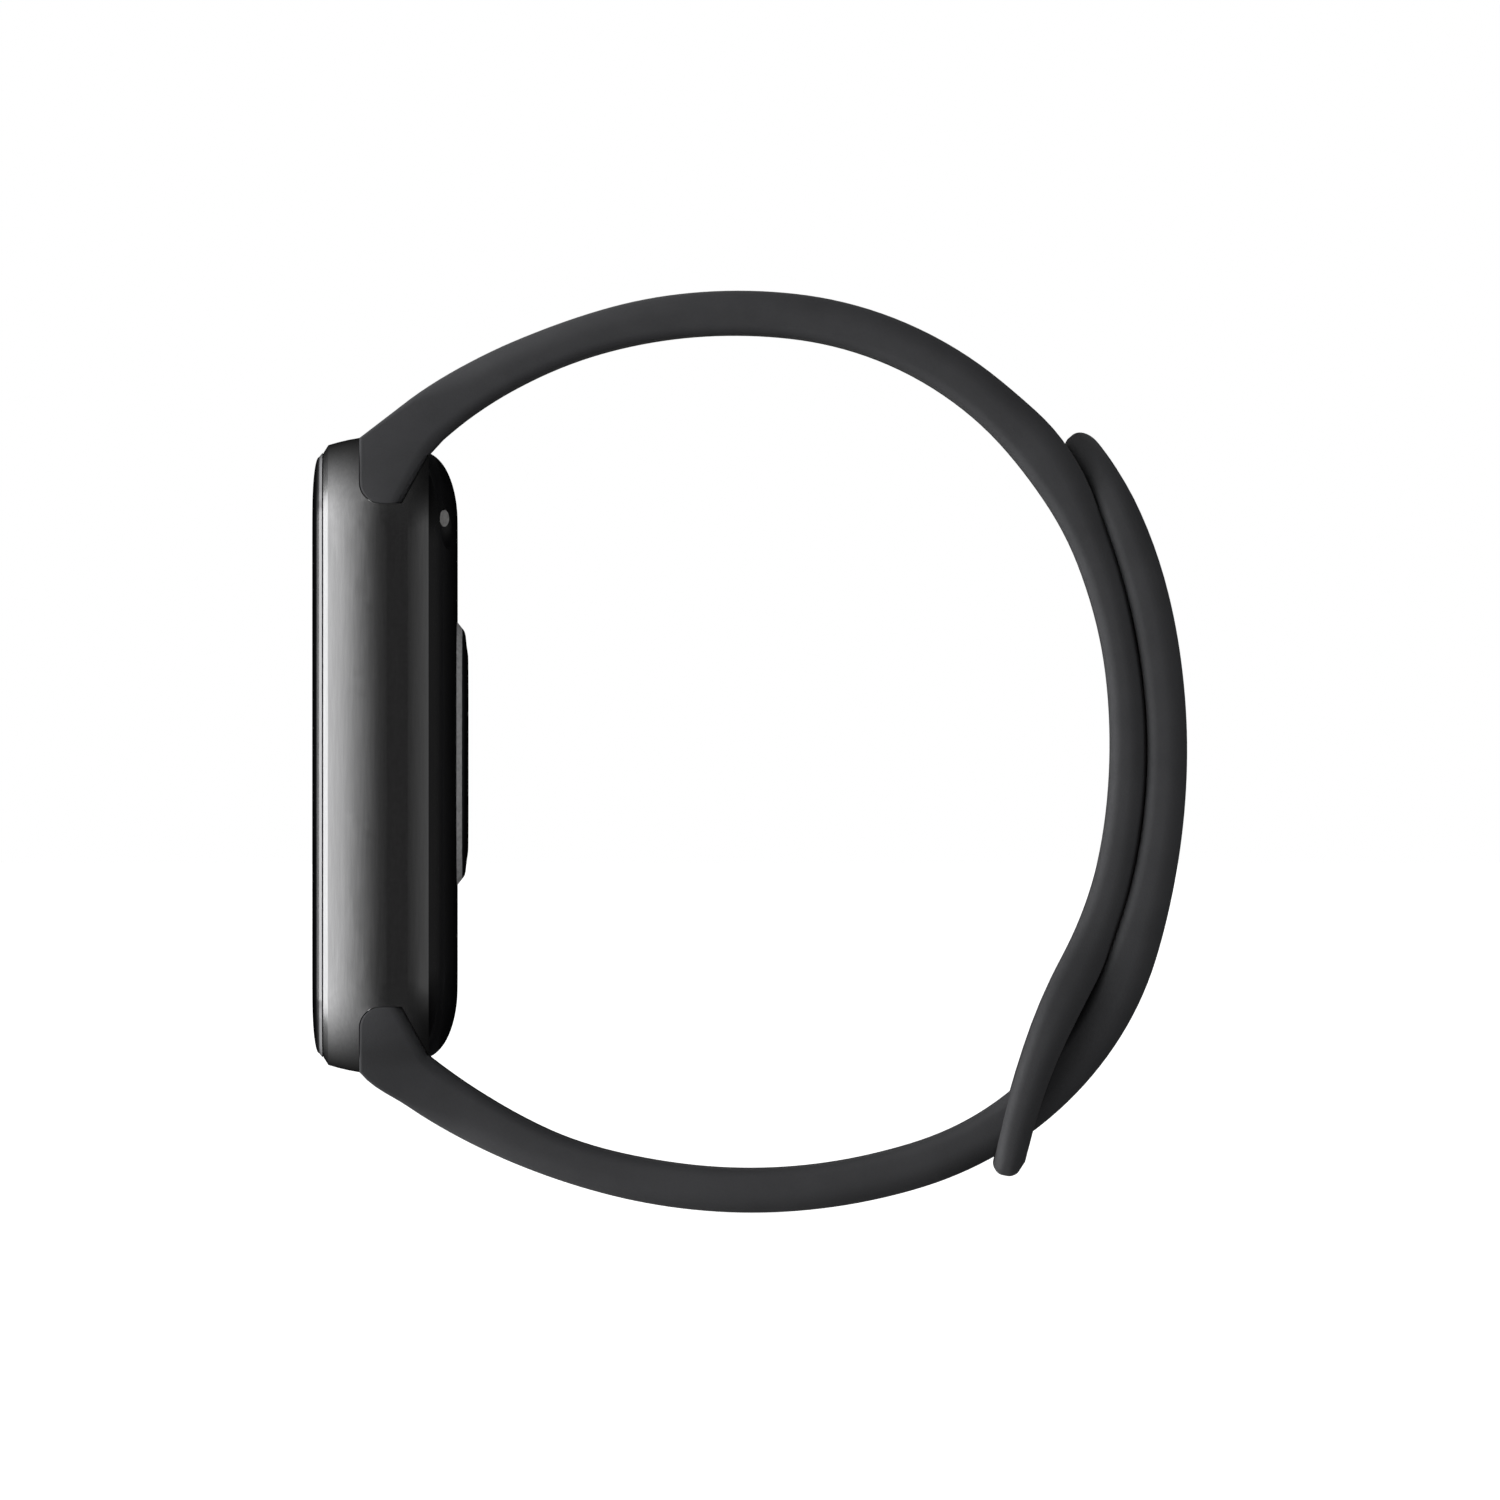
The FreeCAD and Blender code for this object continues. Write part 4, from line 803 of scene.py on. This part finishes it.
def bump(tree, shader, heights):
    """Stack bump layers, each (height socket, depth in metres), onto the shader's normal."""
    previous = None
    for height, depth in heights:
        node = tree.nodes.new("ShaderNodeBump")
        node.inputs["Strength"].default_value = 1.0
        node.inputs["Distance"].default_value = depth
        tree.links.new(height, node.inputs["Height"])
        if previous:
            tree.links.new(previous, node.inputs["Normal"])
        previous = node.outputs["Normal"]
    tree.links.new(previous, shader.inputs["Normal"])


def strap_rubber():
    """Matt dark grey rubber with a soft sheen and a fine grain."""
    material, tree, shader = new_material("strap_rubber")
    broad = noise(tree, 180, 3)
    fine = noise(tree, 5200, 3, 0.7)
    grain = noise(tree, 14000, 2)
    colour = tint(tree, broad, (0.081, 0.082, 0.087), (0.095, 0.096, 0.102))
    tree.links.new(colour, shader.inputs["Base Color"])
    tree.links.new(ramp(tree, fine, 0.58, 0.72), shader.inputs["Roughness"])
    shader.inputs["Specular IOR Level"].default_value = 0.42
    shader.inputs["Sheen Weight"].default_value = 0.12
    shader.inputs["Sheen Roughness"].default_value = 0.45
    bump(tree, shader, [(broad, 0.00002), (fine, 0.000012), (grain, 0.000005)])
    return material


def frame_metallic():
    """Satin metallic lacquer with a fine sparkle and a lengthwise grain."""
    material, tree, shader = new_material("frame_metallic")
    grain = noise(tree, 900, 4, 0.65, stretch=(6, 6, 0.35))
    sparkle = noise(tree, 16000, 2)
    colour = tint(tree, grain, (0.48, 0.48, 0.485), (0.52, 0.52, 0.525))
    tree.links.new(colour, shader.inputs["Base Color"])
    shader.inputs["Metallic"].default_value = 1.0
    tree.links.new(ramp(tree, sparkle, 0.16, 0.21), shader.inputs["Roughness"])
    bump(tree, shader, [(grain, 0.0000012), (sparkle, 0.0000015)])
    return material


def cover_gloss():
    """Glossy black plastic with a faint haze and fine scratches."""
    material, tree, shader = new_material("cover_gloss")
    haze = noise(tree, 700, 5, 0.6)
    scratches = noise(tree, 2600, 2, 0.5, stretch=(0.2, 5, 1.2))
    colour = tint(tree, haze, (0.011, 0.011, 0.012), (0.013, 0.013, 0.014))
    tree.links.new(colour, shader.inputs["Base Color"])
    tree.links.new(ramp(tree, haze, 0.12, 0.24), shader.inputs["Roughness"])
    shader.inputs["Specular IOR Level"].default_value = 0.5
    bump(tree, shader, [(haze, 0.0000015), (scratches, 0.0000008)])
    return material


def cover_glass():
    """Near-black display glass with faint smudges, and a lighter grey bevel at its edge: ground glass,
    with painted light standing in for light passing through the edge.
    """
    material, tree, shader = new_material("display_glass")
    smudge = noise(tree, 260, 6, 0.7)
    colour = tint(tree, smudge, (0.004, 0.004, 0.005), (0.007, 0.007, 0.008))
    place = tree.nodes.new("ShaderNodeTexCoord")
    split = tree.nodes.new("ShaderNodeSeparateXYZ")
    tree.links.new(place.outputs["Object"], split.inputs["Vector"])
    fade_start, fade_stop = ((GLASS_EDGE[0] + fade) * MM for fade in BEVEL_FADE)
    bevel = ramp(tree, split.outputs["X"], 0, 1, fade_start, fade_stop)
    ground_and_glow = tree.nodes.new("ShaderNodeMix")
    ground_and_glow.data_type = "RGBA"
    tree.links.new(bevel, ground_and_glow.inputs["Factor"])
    tree.links.new(colour, ground_and_glow.inputs["A"])
    # painted light: the bevel's lighter grey is ground glass and also stands in for light passing
    # through the glass's edge
    ground_and_glow.inputs["B"].default_value = (0.37, 0.37, 0.38, 1)
    tree.links.new(ground_and_glow.outputs["Result"], shader.inputs["Base Color"])
    tree.links.new(ramp(tree, smudge, 0.03, 0.11), shader.inputs["Roughness"])
    shader.inputs["Specular IOR Level"].default_value = 0.28
    bump(tree, shader, [(smudge, 0.000001)])
    return material


# How far the plain materials' colour and roughness vary, as factors
COLOUR_RANGE = (0.85, 1.12)
ROUGHNESS_RANGE = (0.85, 1.15)


def generic(name, colour, metallic, roughness, grain_scale=3000, depth=0.000003):
    """A material for the smaller and inner pieces: mottled colour, roughness and a fine grain."""
    material, tree, shader = new_material(name)
    grain = noise(tree, grain_scale, 4)
    dark = tuple(c * COLOUR_RANGE[0] for c in colour)
    light = tuple(min(1.0, c * COLOUR_RANGE[1]) for c in colour)
    tree.links.new(tint(tree, grain, dark, light), shader.inputs["Base Color"])
    shader.inputs["Metallic"].default_value = metallic
    smooth, rough = (roughness * factor for factor in ROUGHNESS_RANGE)
    worn = ramp(tree, grain, smooth, min(1, rough))
    tree.links.new(worn, shader.inputs["Roughness"])
    bump(tree, shader, [(grain, depth)])
    return material


def make_materials():
    """Every material by its slot's name; the small pieces' are (colour, metallic, roughness)."""
    return {
        "strap_rubber": strap_rubber(),
        "frame_metallic": frame_metallic(),
        "cover_gloss": cover_gloss(),
        "display_glass": cover_glass(),
        "seal_rubber": generic("seal_rubber", (0.02, 0.02, 0.02), 0, 0.8),
        "gasket_grey": generic("gasket_grey", (0.3, 0.3, 0.305), 0, 0.7),
        "panel_black": generic("panel_black", (0.012, 0.012, 0.014), 0, 0.2),
        "chassis_plastic": generic("chassis_plastic", (0.04, 0.04, 0.042), 0, 0.55),
        "shield_steel": generic("shield_steel", (0.62, 0.62, 0.6), 1, 0.32),
        # sensor trim: a light ring, its near-white colour raised to paint in the highlight along the
        # sensor's edge
        "sensor_trim": generic("sensor_trim", (0.86, 0.86, 0.865), 0, 0.3),
        "sensor_glass": generic("sensor_glass", (0.012, 0.012, 0.014), 0, 0.07, 400, 0.000001),
        "battery_foil": generic("battery_foil", (0.6, 0.6, 0.62), 0.9, 0.4),
        "flex_film": generic("flex_film", (0.45, 0.2, 0.04), 0, 0.3),
        "board_green": generic("board_green", (0.01, 0.12, 0.05), 0, 0.4),
        "chip_black": generic("chip_black", (0.03, 0.03, 0.03), 0, 0.5),
        "antenna_gold": generic("antenna_gold", (0.8, 0.58, 0.25), 1, 0.3),
        "led_green": generic("led_green", (0.2, 0.75, 0.35), 0, 0.2),
        "screw_steel": generic("screw_steel", (0.6, 0.6, 0.61), 1, 0.3),
        "contact_metal": generic("contact_metal", (0.8, 0.79, 0.77), 0.4, 0.4),
        "magnet_metal": generic("magnet_metal", (0.6, 0.6, 0.6), 1, 0.2),
        "rotor_metal": generic("rotor_metal", (0.45, 0.43, 0.41), 1, 0.4),
        "connector_plastic": generic("connector_plastic", (0.03, 0.03, 0.032), 0, 0.42),
        "spring_steel": generic("spring_steel", (0.7, 0.7, 0.7), 1, 0.25),
        "stud_metal": generic("stud_metal", (0.26, 0.26, 0.27), 0.7, 0.32),
    }


def dress(piece, material):
    """Give a piece one material."""
    piece.data.materials.clear()
    piece.data.materials.append(material)


def dress_cad_nodes(materials):
    """Give each node of the CAD the material of its slot."""
    for entry in frame["record"]["subparts"]:
        node = frame["nodes"][entry["node"]]
        for slot in node.material_slots:
            slot.material = materials[entry["material_slot"]]


# ---------------------------------------------------------------- stage

# Camera: the picture's centre and width, seen through a long lens
CENTRE_X = -2.69
CENTRE_Z = 0.34
VIEW_WIDTH = 100.7
LENS = 1400.0
SENSOR = 36.0
FAR_CLIP = 60.0
# World light by direction: strengths, and how fast each part falls off
BASE_LIGHT = 0.01
KEY_LIGHT = 4.4
KEY_FALLOFF = 2.2
WRIST_LIGHT = 0.4
WRIST_FALLOFF = 2.0
TOP_LIGHT = 0.95
UNDER_LIGHT = 0.95
NEAR_FALLOFF = 1.8
DISPLAY_FALLOFF = 5.0
# Area lights aimed at the middle of the band: place and size in metres, power in watts
AREA_LIGHTS = {
    "display_side": ((-1.2, 0.0, 0.0), (0.6, 0.6), 7.0),
    "far_strip": ((-1.09, 0.5, 0.0), (0.3, 0.9), 1.1),
    "wrist_fill": ((1.1, -0.38, 0.1), (0.5, 0.5), 2.6),
}
# Floor, in metres: how far it reaches each way, and its gap under the band
FLOOR_REACH = 12.0
FLOOR_CELLS = 12
FLOOR_GAP = 0.0001


def make_camera():
    """Camera that looks along the strap's width, from far off."""
    data = bpy.data.cameras.new("camera")
    data.sensor_width = SENSOR
    data.lens = LENS
    distance = LENS * VIEW_WIDTH / SENSOR * MM
    data.clip_end = FAR_CLIP
    camera = bpy.data.objects.new("camera", data)
    camera.location = (CENTRE_X * MM, -distance, CENTRE_Z * MM)
    camera.rotation_euler = (math.radians(90), 0, 0)
    bpy.context.scene.collection.objects.link(camera)
    bpy.context.scene.camera = camera


def area_light(name):
    """One of the area lights, aimed at the middle of the band."""
    location, size, power = AREA_LIGHTS[name]
    data = bpy.data.lights.new(name, "AREA")
    data.shape = "RECTANGLE"
    data.size, data.size_y = size
    data.energy = power
    light = bpy.data.objects.new(name, data)
    light.location = location
    aim = Vector((0, 0, 0)) - Vector(location)
    light.rotation_euler = aim.to_track_quat("-Z", "Y").to_euler()
    bpy.context.scene.collection.objects.link(light)
    return light


def make_floor():
    """Wide pale floor under the lowest point of the band."""
    mesh = bmesh.new()
    low = cad_box[0][2] - FLOOR_GAP
    corners = [-FLOOR_REACH + 2 * FLOOR_REACH * i / FLOOR_CELLS for i in range(FLOOR_CELLS + 1)]
    grid = [[mesh.verts.new((x, y, low)) for x in corners] for y in corners]
    for i in range(FLOOR_CELLS):
        for j in range(FLOOR_CELLS):
            mesh.faces.new((grid[i][j], grid[i][j + 1], grid[i + 1][j + 1], grid[i + 1][j]))
    floor = finish_mesh("floor", mesh)
    material, tree, shader = new_material("floor_paper")
    mottle = noise(tree, 40, 3)
    colour = tint(tree, mottle, (0.93, 0.93, 0.93), (0.95, 0.95, 0.95))
    tree.links.new(colour, shader.inputs["Base Color"])
    shader.inputs["Roughness"].default_value = 0.9
    shader.inputs["Emission Color"].default_value = (1, 1, 1, 1)
    shader.inputs["Emission Strength"].default_value = 0.98
    dress(floor, material)
    floor.visible_glossy = False
    floor.visible_diffuse = False


def math_node(tree, operation, a, b):
    """A math node whose inputs are sockets or plain numbers."""
    node = tree.nodes.new("ShaderNodeMath")
    node.operation = operation
    for value, slot in ((a, node.inputs[0]), (b, node.inputs[1])):
        if isinstance(value, (int, float)):
            slot.default_value = value
        else:
            tree.links.new(value, slot)
    return node.outputs[0]


def light_level(tree, x, y, z):
    """World light in a direction: dim along the wrist, brightest from the display's side."""
    def node(operation, a, b):
        return math_node(tree, operation, a, b)
    display_side = node("MAXIMUM", node("MULTIPLY", x, -1.0), 0.0)
    key = node("MULTIPLY", node("POWER", display_side, KEY_FALLOFF), KEY_LIGHT)
    level = node("SUBTRACT", 1.0, node("ABSOLUTE", z, 0.0))
    wrist_side = node("MULTIPLY", node("MAXIMUM", x, 0.0),
                      node("MULTIPLY", node("POWER", level, WRIST_FALLOFF), WRIST_LIGHT))
    above = node("MULTIPLY", node("MAXIMUM", z, 0.0), TOP_LIGHT)
    under = node("MULTIPLY", node("MAXIMUM", node("MULTIPLY", z, -1.0), 0.0), UNDER_LIGHT)
    toward_near = node("MULTIPLY", node("SUBTRACT", 1.0, y), 0.5)
    sideways = node("MULTIPLY", node("ADD", node("ADD", key, wrist_side), BASE_LIGHT),
                    node("POWER", toward_near, NEAR_FALLOFF))
    toward_display = node("MULTIPLY", node("SUBTRACT", 1.0, x), 0.5)
    upright = node("MULTIPLY", node("ADD", above, under),
                   node("POWER", toward_display, DISPLAY_FALLOFF))
    return node("ADD", sideways, upright)


def make_world():
    """A white studio: plain white to the camera, shaped light to everything else."""
    world = bpy.data.worlds.new("studio")
    bpy.context.scene.world = world
    world.use_nodes = True
    tree = world.node_tree
    tree.nodes.clear()
    place = tree.nodes.new("ShaderNodeTexCoord")
    split = tree.nodes.new("ShaderNodeSeparateXYZ")
    tree.links.new(place.outputs["Generated"], split.inputs["Vector"])
    light = tree.nodes.new("ShaderNodeBackground")
    light.inputs["Color"].default_value = (1, 1, 1, 1)
    strength = light_level(tree, *(split.outputs[axis] for axis in "XYZ"))
    tree.links.new(strength, light.inputs["Strength"])
    shown = tree.nodes.new("ShaderNodeBackground")
    shown.inputs["Color"].default_value = (1, 1, 1, 1)
    choose = tree.nodes.new("ShaderNodeMixShader")
    path = tree.nodes.new("ShaderNodeLightPath")
    out = tree.nodes.new("ShaderNodeOutputWorld")
    tree.links.new(path.outputs["Is Camera Ray"], choose.inputs["Fac"])
    tree.links.new(light.outputs["Background"], choose.inputs[1])
    tree.links.new(shown.outputs["Background"], choose.inputs[2])
    tree.links.new(choose.outputs["Shader"], out.inputs["Surface"])


def make_stage():
    """Camera, floor, world light and area lights."""
    make_camera()
    make_floor()
    make_world()
    area_light("display_side")
    area_light("far_strip")
    fill = area_light("wrist_fill")
    fill.visible_glossy = False
    view = bpy.context.scene.view_settings
    view.view_transform = "Standard"
    view.look = "None"


# ---------------------------------------------------------------- put together

def main():
    """Dress the CAD's own pieces, build the finer meshes that replace some, and light them."""
    materials = make_materials()
    dress_cad_nodes(materials)
    upper = make_upper_strap()
    dress(upper, materials["strap_rubber"])
    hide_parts("upper_strap")
    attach(upper, "root")
    lower = make_lower_strap()
    dress(lower, materials["strap_rubber"])
    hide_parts("lower_strap", "lower_strap_tip")
    before, after = (LOWER.at(s) for s in PEEL_SPAN)
    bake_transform(lower)
    glass = make_glass()
    dress(glass, materials["display_glass"])
    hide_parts("cover_glass")
    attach(glass, "root")
    cap = make_cap()
    dress(cap, materials["stud_metal"])
    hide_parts("stud_cap")
    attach(cap, "tip")
    make_springs("upper_latch_springs", 1, materials["spring_steel"])
    make_springs("lower_latch_springs", -1, materials["spring_steel"])
    make_stage()


main()
